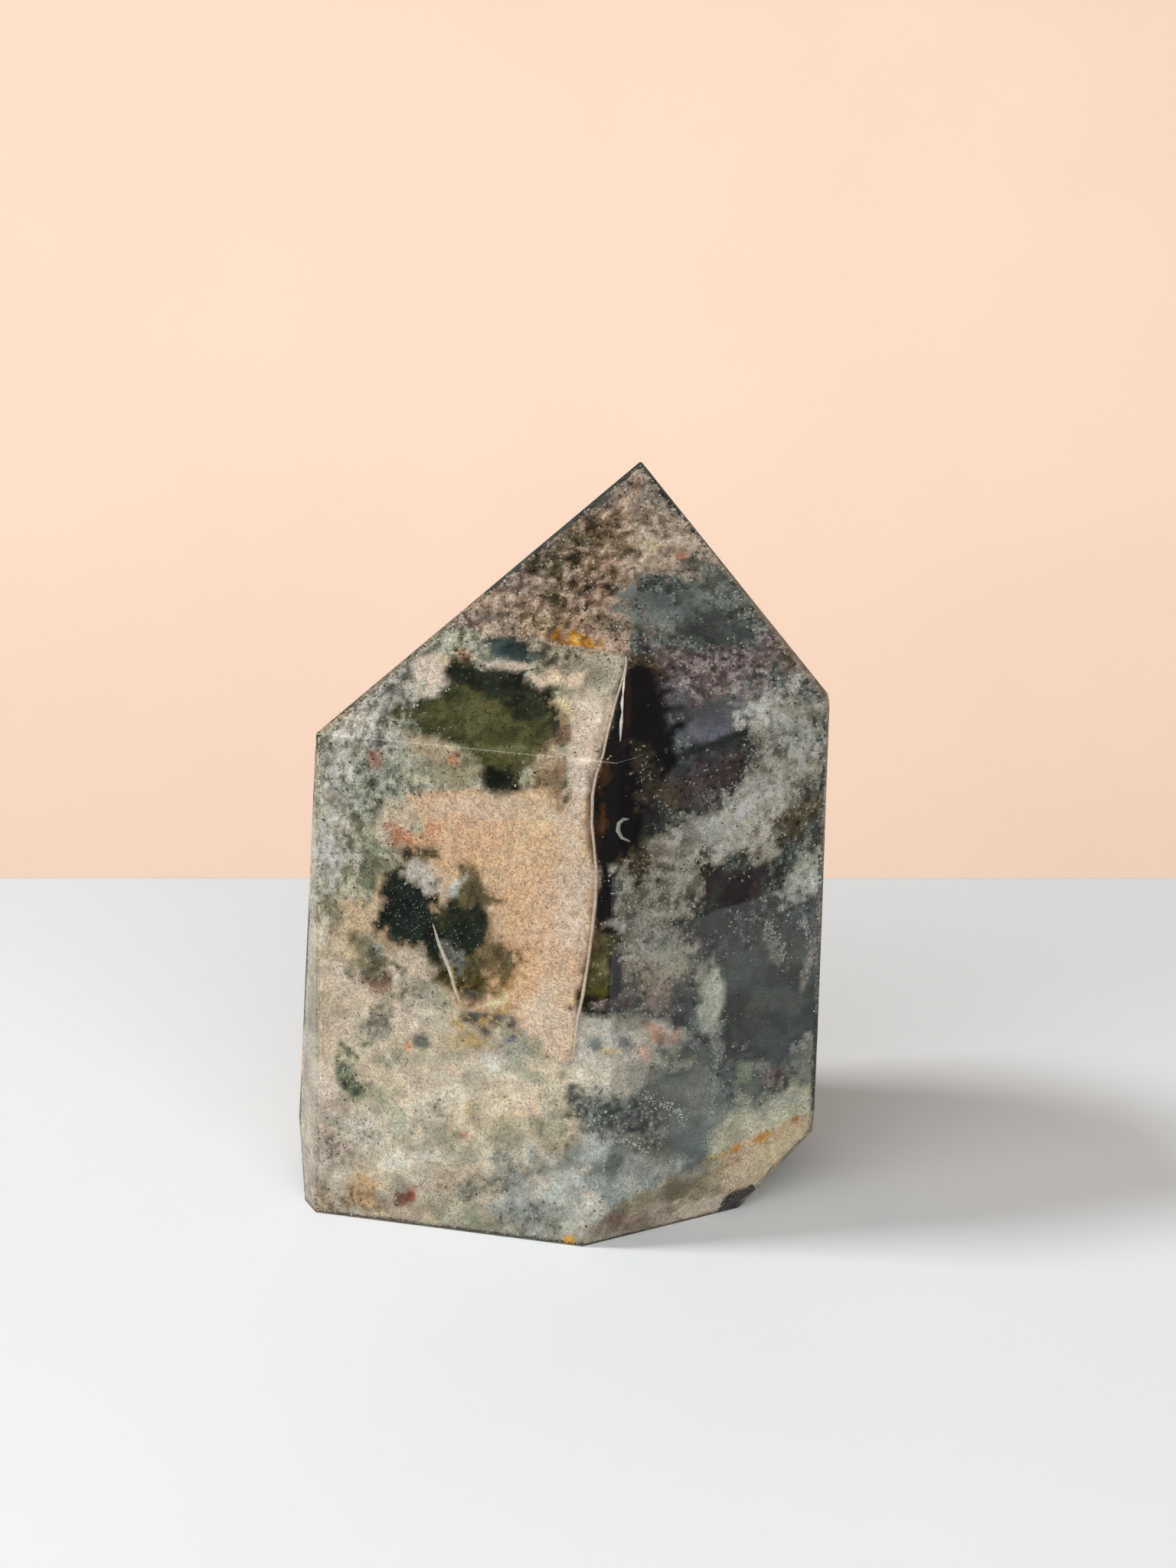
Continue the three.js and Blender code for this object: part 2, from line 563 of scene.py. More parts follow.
LEFT_SHEETS: tuple[Sheet | Patch, ...] = (
    Sheet(Kind.GRIT, Tint.SAGE, ((566, 820), (400, 950), (396, 1180), (450, 1230), (520, 1150),
          (560, 1080), (640, 1045), (700, 1030), (740, 990), (745, 900), (700, 860), (640, 835)), 0.6,
          6, 6, shade=1.2),
    grit(Tint.HOAR, (500, 906), (70, 30), 0.5, -38, ragged=0.5),
    grit(Tint.HOAR, (440, 1060), (26, 102), 0.5, 4, ragged=0.4, shade=1.28),
    grit(Tint.HOAR, (462, 960), (34, 40), 0.5, 20, ragged=0.5),
    grit(Tint.CHALK, (476, 938), (20, 12), 0.5, 40, ragged=0.5, strength=0.7),
    grit(Tint.CHALK, (448, 962), (18, 10), 0.5, ragged=0.5, strength=0.6),
    grit(Tint.PEWTER, (520, 893), (30, 7), 0.6, -38, strength=0.7),
    grit(Tint.PEWTER, (424, 985), (7, 34), 0.5, strength=0.6),
    grit(Tint.LICHEN, (474, 1000), (14, 24), 0.7, ragged=0.6, strength=0.5),
    grit(Tint.LICHEN, (456, 1046), (16, 18), 0.7, ragged=0.6, strength=0.6),
    silt(Tint.CHALK, (519, 974), (40, 6), 0.5, 50, soft=0.5, ragged=0.15, strength=0.35),
    sand(Tint.BISQUE, (560, 886), (30, 32), 0.6, 20, ragged=0.5),
    sand(Tint.TAN, (600, 868), (22, 10), 0.6, 30),
    rust(Tint.RUST, (607, 860), (14, 6), 0.6, 30, strength=0.6),
    silt(Tint.KHAKI, (590, 990), (66, 34), 0.7, strength=0.75),
    silt(Tint.TAN, (560, 975), (40, 12), 0.6, 20, strength=0.6),
    silt(Tint.KHAKI, (712, 1010), (26, 30), 0.8, shade=0.9),
    Sheet(Kind.MOSS, Tint.OLIVE, ((592, 868), (606, 864), (637, 878), (671, 878), (699, 898),
          (724, 915), (735, 934), (743, 951), (741, 971), (718, 976), (706, 984), (690, 990),
          (687, 1007), (673, 1030), (659, 1040), (640, 1038), (630, 1018), (630, 998), (612, 984),
          (586, 966), (558, 957), (543, 945), (549, 923), (572, 900)), 1.5, 4, 7),
    moss(Tint.DEEP_MOSS, (676, 906), (52, 26), 1.8, 24, ragged=0.6),
    moss(Tint.DEEP_MOSS, (636, 886), (44, 10), 1.8, 8, ragged=0.5),
    moss(Tint.DEEP_MOSS, (730, 948), (12, 24), 1.6, -10, ragged=0.5),
    moss(Tint.OLIVE, (558, 934), (24, 18), 1.2, ragged=0.7, shade=1.1),
    moss(Tint.DEEP_MOSS, (655, 1022), (21, 18), 1.8, ragged=0.5, shade=0.8),
    moss(Tint.LICHEN, (650, 978), (50, 4), 1.2, -2, strength=0.3),
    silt(Tint.UMBER, (716, 1004), (18, 30), 0.9, 10, ragged=0.7, shade=1.05, strength=0.7),
    silt(Tint.TAN, (722, 992), (10, 16), 0.8, ragged=0.7, strength=0.5),
    clear(Tint.TEAL_GREY, (672, 852), (40, 13), 1.4, 8, ragged=0.4),
    moss(Tint.PINE, (680, 848), (26, 8), 1.6, 8, ragged=0.5, strength=0.6),
    sand(Tint.BISQUE, (655, 871), (50, 5), 0.6, 6, ragged=0.5),
    sand(Tint.BISQUE, (712, 888), (20, 12), 0.6, 12, ragged=0.6),
    Sheet(Kind.SILT, Tint.PUTTY, ((742, 856), (818, 866), (806, 920), (746, 940), (738, 900)), 0.8, 4,
          4),
    silt(Tint.CHALK, (790, 862), (28, 8), 0.6, 6, strength=0.7),
    sand(Tint.BISQUE, (752, 886), (16, 15), 0.6, ragged=0.6, shade=0.95),
    silt(Tint.LICHEN, (782, 886), (10, 16), 0.8, 10, strength=0.5),
    sand(Tint.BUTTER, (744, 925), (16, 12), 0.6, ragged=0.6),
    Sheet(Kind.SILT, Tint.LILAC_SAND, ((752, 915), (806, 908), *SAND_RIM[3:9], (742, 1100), (741, 990)),
          0.5, 4, 3),
    silt(Tint.UMBER, (739, 955), (10, 20), 0.9, strength=0.9),
    silt(Tint.UMBER, (732, 1024), (7, 32), 0.8, 2, shade=1.2, strength=0.7),
    rust(Tint.RUST, (590, 993), (8, 10), 0.6, -20, strength=0.8),
    rust(Tint.RUST, (492, 990), (11, 13), 0.6, 20, strength=0.5),
    Sheet(Kind.SAND, Tint.PEACH, ((536, 1044), (558, 1030), (592, 1032), (622, 1030), (640, 1042),
          (662, 1042), (690, 1028), (716, 1030), (728, 1052), (744, 1052), *SAND_RIM[6:], (730, 1386),
          (696, 1368), (676, 1343), (670, 1300), (667, 1262), (655, 1228), (640, 1200), (628, 1166),
          (607, 1145), (586, 1126), (580, 1102), (548, 1068)), 0.5, 4, 5),
    sand(Tint.BISQUE, (640, 1058), (90, 20), 0.5, strength=0.6),
    sand(Tint.APRICOT, (676, 1235), (24, 70), 0.5, -10, strength=0.9),
    sand(Tint.APRICOT, (620, 1110), (40, 28), 0.5, 30, strength=0.5),
    sand(Tint.ROSE_SAND, (746, 1150), (24, 110), 0.5, strength=0.8),
    sand(Tint.ROSE_SAND, (716, 1320), (30, 60), 0.5, -8, strength=0.8),
    sand(Tint.BISQUE, (520, 1075), (24, 26), 0.6, strength=0.7),
    rust(Tint.RUST, (524, 1091), (16, 8), 0.6, 12, ragged=1.0, strength=0.35),
    rust(Tint.RUST, (561, 1088), (11, 8), 0.6, ragged=1.0, strength=0.4),
    rust(Tint.RUST, (513, 1086), (8, 6), 0.6, ragged=1.0, strength=0.5),
)

MOSS_PATCHES: tuple[Sheet | Patch, ...] = (
    moss(Tint.LICHEN, (486, 1128), (16, 28), 0.8, -8, soft=1.0, ragged=0.9, strength=0.75),
    moss(Tint.LICHEN, (438, 1192), (13, 16), 0.9, soft=1.0, ragged=0.9, shade=0.85, strength=0.75),
    sand(Tint.TAN, (500, 1176), (20, 36), 0.6, 20, ragged=0.5),
    moss(Tint.KHAKI, (558, 1116), (24, 14), 1.0, ragged=0.4, shade=0.55),
    moss(Tint.PINE, (536, 1166), (36, 34), 1.6, -10, soft=0.4, ragged=0.3),
    moss(Tint.PINE, (535, 1206), (40, 30), 1.6, 10, soft=0.4, ragged=0.3),
    moss(Tint.KHAKI, (616, 1168), (26, 34), 1.1, -24, ragged=0.4, shade=0.7),
    moss(Tint.KHAKI, (633, 1262), (33, 48), 1.2, 8, ragged=0.45, shade=0.72),
    moss(Tint.DEEP_MOSS, (606, 1212), (32, 42), 1.6, -10, soft=0.4),
    moss(Tint.PINE, (606, 1222), (19, 26), 1.8, ragged=0.4),
    moss(Tint.OLIVE, (620, 1288), (20, 26), 1.3, ragged=0.5, strength=0.7),
    moss(Tint.PEWTER, (617, 1327), (12, 7), 1.2, -20, shade=0.8),
    sand(Tint.BISQUE, (552, 1248), (20, 17), 0.7, 20, ragged=0.8, shade=0.9, strength=0.7),
    sand(Tint.BISQUE, (572, 1152), (7, 26), 0.7, -24, ragged=0.6, strength=0.8),
    frost(Tint.SNOW, (547, 1138), (11, 8), 0.7, ragged=0.8, shade=0.95),
    frost(Tint.SNOW, (562, 1155), (8, 7), 0.7, ragged=0.8, shade=0.95),
    silt(Tint.MIST, (593, 1160), (8, 15), 0.6, 20, soft=0.4, ragged=0.3),
    moss(Tint.LICHEN, (490, 1246), (20, 22), 0.9, soft=1.0, ragged=0.9, shade=0.9, strength=0.75),
    frost(Tint.MIST, (496, 1241), (11, 11), 0.6, ragged=0.6, shade=1.25),
    frost(Tint.MIST, (594, 1252), (12, 13), 0.8, -20, ragged=0.8, strength=0.7),
)

LOW_SHEETS: tuple[Sheet | Patch, ...] = (
    Sheet(Kind.SILT, Tint.OATMEAL, ((380, 1190), (440, 1200), (500, 1250), (560, 1262), (600, 1300),
          (618, 1340), (660, 1340), (690, 1372), (742, 1392), (752, 1460), (740, 1540), (720, 1660),
          (380, 1620)), 0.6, 10, 14, shade=0.93),
    sand(Tint.TAN, (452, 1222), (40, 36), 0.6, ragged=0.5),
    sand(Tint.BISQUE, (530, 1268), (46, 14), 0.6, 20, ragged=0.5, strength=0.7),
    sand(Tint.BISQUE, (460, 1290), (52, 30), 0.6, strength=0.6),
    silt(Tint.UMBER, (435, 1216), (7, 12), 0.8, ragged=0.7, shade=1.2, strength=0.6),
    grit(Tint.UMBER, (482, 1260), (14, 10), 0.8, 20, ragged=0.7, shade=1.1, strength=0.7),
    grit(Tint.UMBER, (502, 1287), (24, 11), 0.8, 20, ragged=0.8, shade=1.12, strength=0.95),
    grit(Tint.ASH, (536, 1304), (24, 12), 0.8, 18, ragged=0.8, shade=0.86, strength=0.95),
    silt(Tint.SAGE, (566, 1298), (24, 12), 0.7, 30, ragged=0.6, strength=0.85),
    sand(Tint.ROSE_SAND, (436, 1362), (34, 30), 0.6, ragged=0.5, shade=0.93, strength=0.8),
    silt(Tint.MAUVE_GREY, (424, 1430), (22, 110), 0.6, ragged=0.5, strength=0.8),
    silt(Tint.SAGE, (409, 1330), (9, 80), 0.6, ragged=0.5, strength=0.85),
    silt(Tint.CHALK, (556, 1328), (24, 16), 0.6, ragged=0.5, strength=0.75),
    sand(Tint.ROSE_SAND, (520, 1330), (20, 20), 0.6, ragged=0.5, strength=0.7),
    grit(Tint.SAGE, (480, 1344), (12, 10), 0.7, ragged=0.6, shade=0.85, strength=0.85),
    grit(Tint.SAGE, (482, 1362), (9, 14), 0.7, -10, ragged=0.6, shade=0.8, strength=0.85),
    silt(Tint.PEWTER, (551, 1359), (9, 9), 0.8, shade=0.95),
    rust(Tint.RUST, (536, 1363), (6, 4), 0.6, strength=0.7),
    silt(Tint.SAGE, (520, 1378), (26, 12), 0.7, -14, ragged=0.8, strength=0.85),
    silt(Tint.SAGE, (596, 1374), (14, 20), 0.7, 20, ragged=0.8, strength=0.85),
    grit(Tint.LICHEN, (455, 1404), (12, 24), 1.2, -14, ragged=0.5),
    grit(Tint.LICHEN, (474, 1426), (17, 10), 1.0, 10, ragged=0.5, strength=0.8),
    silt(Tint.PEWTER, (462, 1460), (10, 12), 0.9, ragged=0.7, strength=0.6),
    rust(Tint.OCHRE, (600, 1340), (20, 6), 0.6, 34, ragged=0.9, strength=0.5),
    rust(Tint.OCHRE, (650, 1318), (24, 7), 0.6, -42, ragged=0.9, strength=0.6),
    silt(Tint.BUTTER, (654, 1304), (24, 9), 0.5, -52, ragged=0.5, strength=0.95),
    silt(Tint.BUTTER, (622, 1366), (26, 12), 0.5, 10, ragged=0.7, strength=0.7),
    rust(Tint.OCHRE, (612, 1356), (16, 4), 0.6, 20, ragged=0.9, strength=0.45),
    silt(Tint.CHALK, (644, 1383), (22, 16), 0.5, ragged=0.5, strength=0.95),
    silt(Tint.SAGE, (684, 1382), (18, 28), 0.7, -20, ragged=0.6, shade=0.93, strength=0.85),
    silt(Tint.SAGE, (700, 1416), (26, 14), 0.7, 20, ragged=0.8, shade=0.93, strength=0.85),
    silt(Tint.STEEL, (668, 1355), (5, 4), 0.7, shade=1.2),
    sand(Tint.ROSE_SAND, (590, 1398), (9, 14), 0.6, strength=0.7),
    rust(Tint.RUST, (590, 1400), (4, 8), 0.6, strength=0.5),
    silt(Tint.CHALK, (600, 1430), (54, 26), 0.5, -10, ragged=0.9, strength=0.5),
    silt(Tint.BUTTER, (612, 1448), (12, 16), 0.5, ragged=0.7, strength=0.6),
    sand(Tint.ROSE_SAND, (688, 1444), (16, 20), 0.6, ragged=0.6, strength=0.7),
    rust(Tint.RUST, (698, 1450), (5, 5), 0.6, strength=0.6),
    rust(Tint.RUST, (605, 1482), (7, 5), 0.6, strength=0.6),
    rust(Tint.OCHRE, (612, 1453), (5, 5), 0.6, strength=0.6),
    rust(Tint.TAN, (546, 1476), (8, 6), 0.6, ragged=0.6, strength=0.8),
    silt(Tint.SAGE, (506, 1440), (20, 12), 0.7, 30, ragged=0.9, strength=0.85),
    silt(Tint.SAGE, (530, 1470), (18, 14), 0.7, ragged=0.9, strength=0.85),
    silt(Tint.SAGE, (664, 1490), (34, 14), 0.7, -10, ragged=0.9, shade=0.92, strength=0.8),
    silt(Tint.SAGE, (716, 1476), (24, 18), 0.8, -10, ragged=0.8, shade=0.9, strength=0.85),
    grit(Tint.MAUVE_GREY, (430, 1504), (26, 18), 0.6, ragged=0.6, shade=0.98),
    silt(Tint.CHALK, (534, 1514), (44, 13), 0.5, -3, soft=0.4, ragged=0.4),
    silt(Tint.PUTTY, (556, 1538), (66, 5), 0.8, ragged=0.6, strength=0.8),
    Sheet(Kind.SILT, Tint.ASH, ((395, 1530), (500, 1545), (600, 1540), (680, 1520), (730, 1530),
          (720, 1640), (395, 1600)), 0.7, 10, 14, shade=0.96),
    grit(Tint.TAN, (440, 1568), (44, 26), 0.6, 10, ragged=0.5, shade=0.92),
    rust(Tint.AMBER, (460, 1546), (24, 14), 0.6, ragged=0.8, shade=1.15, strength=0.4),
    rust(Tint.EMBER, (535, 1558), (12, 10), 0.7, -30, ragged=0.7, strength=0.95),
    rust(Tint.OXBLOOD, (526, 1567), (9, 8), 0.7, ragged=0.6, strength=0.9),
    rust(Tint.EMBER, (578, 1552), (5, 6), 0.7, strength=0.35),
    silt(Tint.SAGE, (586, 1588), (30, 16), 0.7, ragged=0.8, strength=0.85),
    frost(Tint.CHALK, (602, 1596), (14, 12), 0.6, ragged=0.8, strength=0.5),
    frost(Tint.CHALK, (650, 1586), (20, 16), 0.6, ragged=0.8, strength=0.5),
    grit(Tint.PEWTER, (672, 1566), (30, 26), 0.9, ragged=0.8, shade=1.1, strength=0.75),
    silt(Tint.ASH, (430, 1318), (24, 14), 0.7, 10, ragged=0.9, strength=0.7),
    grit(Tint.SAGE, (446, 1478), (22, 14), 0.7, ragged=0.9, strength=0.7),
    grit(Tint.PEWTER, (494, 1348), (10, 22), 0.8, 30, ragged=0.9, strength=0.7),
    grit(Tint.LICHEN, (450, 1386), (16, 22), 0.9, 10, ragged=0.8, strength=0.8),
    frost(Tint.CHALK, (470, 1474), (26, 18), 0.5, 30, ragged=0.9, shade=1.1, strength=0.6),
    frost(Tint.CHALK, (560, 1462), (30, 18), 0.5, -20, ragged=0.9, shade=1.1, strength=0.6),
    grit(Tint.PEWTER, (654, 1528), (26, 12), 0.8, -20, ragged=0.9, strength=0.7),
    silt(Tint.ASH, (540, 1420), (26, 12), 0.7, 40, ragged=0.9, strength=0.7),
    silt(Tint.SAGE, (640, 1462), (20, 12), 0.7, ragged=0.9, strength=0.7),
    silt(Tint.SAGE, (580, 1500), (22, 9), 0.7, 20, ragged=0.9, strength=0.7),
    grit(Tint.ASH, (500, 1490), (18, 10), 0.7, ragged=0.9, strength=0.6),
    grit(Tint.PEWTER, (640, 1546), (26, 10), 0.8, -10, ragged=0.9, strength=0.7),
    grit(Tint.UMBER, (575, 1560), (22, 10), 0.7, ragged=0.9, shade=1.2, strength=0.5),
)

RIGHT_SHEETS: tuple[Sheet | Patch, ...] = (
    # Painted shade: the black window, where one looks deep into clear quartz, is laid as dark sheets.
    clear(Tint.INK, (844, 958), (42, 92), 2.6, soft=0.7),
    clear(Tint.INK, (838, 1040), (34, 66), 2.6, soft=0.9, strength=0.8),
    Sheet(Kind.CLEAR, Tint.INK, ((824, 852), *SAND_RIM[1:12], (814, 1222), (807, 1190), (805, 1160),
          (817, 1130), (836, 1112), (840, 1060), (836, 1010), (862, 985), (860, 925), (852, 890),
          (842, 862)), 2.6, 5, 4),
    Sheet(Kind.CLEAR, Tint.INK, ((822, 905), (852, 900), (866, 925), (872, 965), (862, 1000),
          (838, 1012), (800, 1005), (806, 940)), 2.2, 9, 8),
    grit(Tint.OLIVE_GRIT, (838, 864), (20, 9), 1.0, 10, ragged=0.7, shade=0.9, strength=0.8),
    # Painted highlight: the brown fringe beside the glint on the front ridge.
    clear(Tint.OXBLOOD, (818, 930), (5, 44), 1.8, 2, soft=0.9, ragged=0.3, shade=0.8, strength=0.3),
    clear(Tint.OXBLOOD, (780, 1100), (5, 34), 1.6, 2, soft=0.9, ragged=0.3, shade=0.8, strength=0.35),
    clear(Tint.PLUM, (925, 1020), (64, 38), 2.0, -10, soft=0.8, ragged=0.4, shade=0.95),
    grit(Tint.HEATHER, (918, 1024), (52, 26), 1.6, -12, ragged=0.7, shade=0.8, strength=0.5),
    clear(Tint.SLATE, (962, 968), (30, 12), 2.6, -18, shade=0.5, strength=0.8),
    grit(Tint.OLIVE_GRIT, (829, 988), (11, 18), 1.6, 10, ragged=0.9, shade=0.85, strength=0.4),
    grit(Tint.OLIVE_GRIT, (838, 1028), (12, 26), 1.6, 20, ragged=0.8, shade=0.85, strength=0.4),
    grit(Tint.OLIVE_GRIT, (882, 1040), (18, 26), 1.6, ragged=0.8, strength=0.5),
    moss(Tint.AMBER, (784, 1072), (5, 18), 1.0, 2, ragged=0.7, shade=0.7, strength=0.3),
    moss(Tint.AMBER, (786, 1018), (5, 22), 1.0, 6, ragged=0.7, shade=0.6, strength=0.2),
    grit(Tint.OLIVE_GRIT, (839, 1128), (20, 26), 1.3, ragged=0.6, strength=0.9),
    Sheet(Kind.FROST, Tint.PUTTY, ((986, 915), (1076, 912), (1079, 1010), (1046, 1022), (1034, 1043),
          (1021, 1079), (1016, 1119), (995, 1140), (970, 1132), (930, 1122), (912, 1160), (906, 1225),
          (890, 1262), (815, 1262), (812, 1232), (806, 1181), (808, 1160), (820, 1140), (828, 1152),
          (846, 1150), (856, 1124), (857, 1104), (862, 1099), (903, 1079), (939, 1058), (952, 1030),
          (980, 1012), (982, 976)), 0.9, 5, 13, shade=1.26),
    grit(Tint.HOAR, (1038, 958), (42, 48), 0.8, ragged=0.8, shade=1.34, strength=0.9),
    grit(Tint.HOAR, (972, 1066), (70, 26), 0.7, -34, ragged=0.7, shade=1.34, strength=0.85),
    silt(Tint.HOAR, (948, 1096), (56, 24), 0.7, -8, ragged=0.8, shade=1.18, strength=0.8),
    silt(Tint.HOAR, (1010, 1036), (38, 14), 0.6, -40, ragged=0.7, shade=1.22, strength=0.9),
    frost(Tint.HOAR, (902, 1098), (40, 14), 0.7, -24, ragged=0.6, shade=1.15, strength=0.8),
    frost(Tint.HOAR, (813, 1184), (7, 40), 0.7, -4, ragged=0.9, shade=1.05, strength=0.6),
    grit(Tint.UMBER, (842, 1196), (18, 30), 1.2, ragged=0.8, shade=0.9, strength=0.35),
    grit(Tint.PEWTER, (1056, 950), (20, 26), 1.0, ragged=0.9, strength=0.5),
    clear(Tint.SLATE, (1066, 944), (9, 11), 1.4, ragged=0.6, shade=0.6),
    grit(Tint.ASH, (850, 1276), (40, 42), 0.9, ragged=0.6, shade=0.88, strength=0.85),
    silt(Tint.HEATHER, (846, 1300), (34, 20), 1.0, ragged=0.6, strength=0.6),
    silt(Tint.SAGE, (882, 1256), (17, 22), 0.9, 20, ragged=0.6, shade=1.06, strength=0.8),
    grit(Tint.PEWTER, (1056, 1062), (22, 50), 1.2, 8, shade=0.95),
    grit(Tint.OLIVE_GRIT, (1034, 1078), (16, 38), 1.2, 26, ragged=0.6),
    grit(Tint.OLIVE_GRIT, (922, 1136), (16, 15), 1.4, 40, ragged=0.5, shade=0.85),
    clear(Tint.PLUM, (966, 1160), (42, 28), 2.2, 6, ragged=0.6, shade=0.8),
    clear(Tint.GREEN_SLATE, (934, 1206), (36, 44), 2.2, 24, ragged=0.5, shade=0.6),
    grit(Tint.CELADON, (1038, 1146), (34, 46), 0.9, 14, ragged=0.95, shade=1.34),
    grit(Tint.LICHEN, (1014, 1196), (34, 10), 1.4, -20, ragged=0.7, strength=0.6),
    silt(Tint.CELADON, (930, 1306), (23, 44), 0.9, ragged=0.4, shade=1.05),
    silt(Tint.CELADON, (938, 1366), (9, 20), 0.9, ragged=0.4, shade=0.85, strength=0.8),
    Sheet(Kind.CLEAR, Tint.SLATE, ((946, 1262), (954, 1228), (980, 1204), (1072, 1192), (1070, 1386),
          (946, 1384)), 2.4, 3, 2.5, shade=0.88),
    grit(Tint.GREEN_SLATE, (984, 1208), (44, 22), 1.3, -20, ragged=0.9, shade=0.82),
    grit(Tint.GREEN_SLATE, (1052, 1214), (26, 16), 1.2, ragged=0.9, shade=0.95),
    clear(Tint.PLUM, (978, 1334), (18, 26), 2.8, strength=0.6),
    frost(Tint.HOAR, (1011, 1230), (9, 24), 0.9, -20, ragged=0.9, strength=0.3),
    frost(Tint.HOAR, (1048, 1208), (9, 8), 0.8, 20, ragged=0.9, strength=0.5),
    frost(Tint.HOAR, (1058, 1262), (5, 18), 0.8, 14, ragged=0.9, strength=0.4),
    frost(Tint.HOAR, (1052, 1368), (13, 12), 0.8, -30, ragged=0.7, shade=1.05),
    frost(Tint.MIST, (912, 1364), (6, 22), 0.9, -30, ragged=0.4, strength=0.9),
    Sheet(Kind.MOSS, Tint.OLIVE, ((774, 1216), (809, 1222), (810, 1312), (760, 1318), (764, 1290)), 1.2,
          2.5, 3, shade=0.95),
    grit(Tint.KHAKI, (784, 1270), (12, 34), 1.0, ragged=0.9, shade=0.9, strength=0.4),
    moss(Tint.INK, (802, 1280), (9, 36), 1.6, soft=0.7, ragged=0.6, shade=1.4),
    moss(Tint.OXBLOOD, (776, 1226), (6, 22), 1.4, 4, shade=0.8, strength=0.6),
    Sheet(Kind.SILT, Tint.PUTTY, ((752, 1326), (820, 1326), (870, 1330), (900, 1350), (884, 1380),
          (830, 1396), (748, 1396)), 0.8, 5, 4, shade=1.08),
    frost(Tint.HEATHER, (800, 1317), (48, 6), 1.0, ragged=0.6, shade=1.1),
    clear(Tint.STEEL, (884, 1306), (22, 18), 1.5, 20, ragged=0.6, shade=0.85, strength=0.85),
    silt(Tint.PEWTER, (780, 1363), (8, 11), 1.0, ragged=0.2),
    silt(Tint.STEEL, (816, 1364), (9, 11), 1.0, 8, ragged=0.2, shade=1.05),
    rust(Tint.OCHRE, (793, 1375), (10, 6), 0.7, ragged=0.7, strength=0.7),
    rust(Tint.RUST, (857, 1356), (10, 9), 0.7, ragged=0.8, shade=1.3, strength=0.5),
    rust(Tint.RUST, (877, 1351), (4, 9), 0.7, ragged=0.7, shade=1.2, strength=0.4),
    rust(Tint.RUST, (834, 1386), (10, 17), 0.7, ragged=0.8, shade=1.3, strength=0.5),
    silt(Tint.PUTTY, (806, 1406), (52, 28), 0.9, ragged=0.5, shade=1.1),
    silt(Tint.CHALK, (763, 1410), (9, 14), 0.7, -20, ragged=0.7, strength=0.7),
    clear(Tint.PEWTER, (888, 1440), (44, 66), 1.8, soft=0.8, ragged=0.5, shade=0.95),
    clear(Tint.SLATE, (886, 1482), (38, 30), 2.2, soft=0.8, shade=1.25, strength=0.8),
    frost(Tint.SAGE, (880, 1387), (26, 6), 0.8, -6, ragged=0.6, strength=0.8),
    grit(Tint.PEWTER, (806, 1464), (44, 28), 1.2, 4, ragged=0.7, shade=1.02),
    grit(Tint.SLATE, (776, 1450), (30, 20), 1.5, 10, ragged=0.7, shade=1.3),
    grit(Tint.PEWTER, (995, 1408), (60, 28), 1.3, ragged=0.6, shade=0.95),
    clear(Tint.SLATE, (953, 1398), (10, 10), 1.8, strength=0.8),
    clear(Tint.SLATE, (988, 1414), (10, 15), 1.8, strength=0.8),
    grit(Tint.HEATHER, (1012, 1404), (10, 9), 1.4, ragged=0.5, shade=0.85),
    silt(Tint.LICHEN, (972, 1398), (12, 12), 1.2, shade=1.25, strength=0.8),
    frost(Tint.SAGE, (966, 1426), (7, 14), 0.8, 10, ragged=0.8, strength=0.8),
    Sheet(Kind.SILT, Tint.SAGE, ((930, 1476), (960, 1448), (1020, 1432), (1075, 1404), (1070, 1460),
          (1000, 1482), (922, 1518)), 0.7, 8, 6, shade=1.13),
    silt(Tint.MIST, (1022, 1440), (20, 12), 0.7, -20, ragged=0.6, shade=1.05, strength=0.6),
    Sheet(Kind.SILT, Tint.MIST, ((640, 1530), (700, 1520), (760, 1490), (838, 1484), (852, 1512),
          (900, 1512), (880, 1540), (850, 1556), (800, 1580), (768, 1632), (690, 1640), (660, 1580)),
          0.8, 10, 18, shade=0.87, strength=0.8),
    silt(Tint.CELADON, (736, 1586), (30, 34), 0.6, ragged=0.5, shade=1.1, strength=0.8),
    grit(Tint.PEWTER, (704, 1588), (32, 15), 0.8, -8, ragged=0.9, strength=0.65),
    silt(Tint.LICHEN, (656, 1606), (34, 9), 0.8, 6, ragged=0.9, shade=1.15, strength=0.6),
    frost(Tint.CHALK, (716, 1548), (22, 12), 0.6, -20, ragged=0.9, strength=0.6),
    clear(Tint.PEWTER, (790, 1528), (24, 8), 1.2, -8, ragged=0.7, strength=0.9),
    clear(Tint.PEWTER, (740, 1526), (28, 8), 1.2, -14, ragged=0.7, strength=0.8),
    frost(Tint.CHALK, (770, 1556), (30, 22), 0.6, ragged=0.9, shade=1.1, strength=0.7),
    frost(Tint.CHALK, (764, 1602), (8, 26), 0.6, 24, ragged=0.7, strength=0.7),
    rust(Tint.FLAME, (741, 1619), (12, 7), 0.5, -18, ragged=0.5),
)

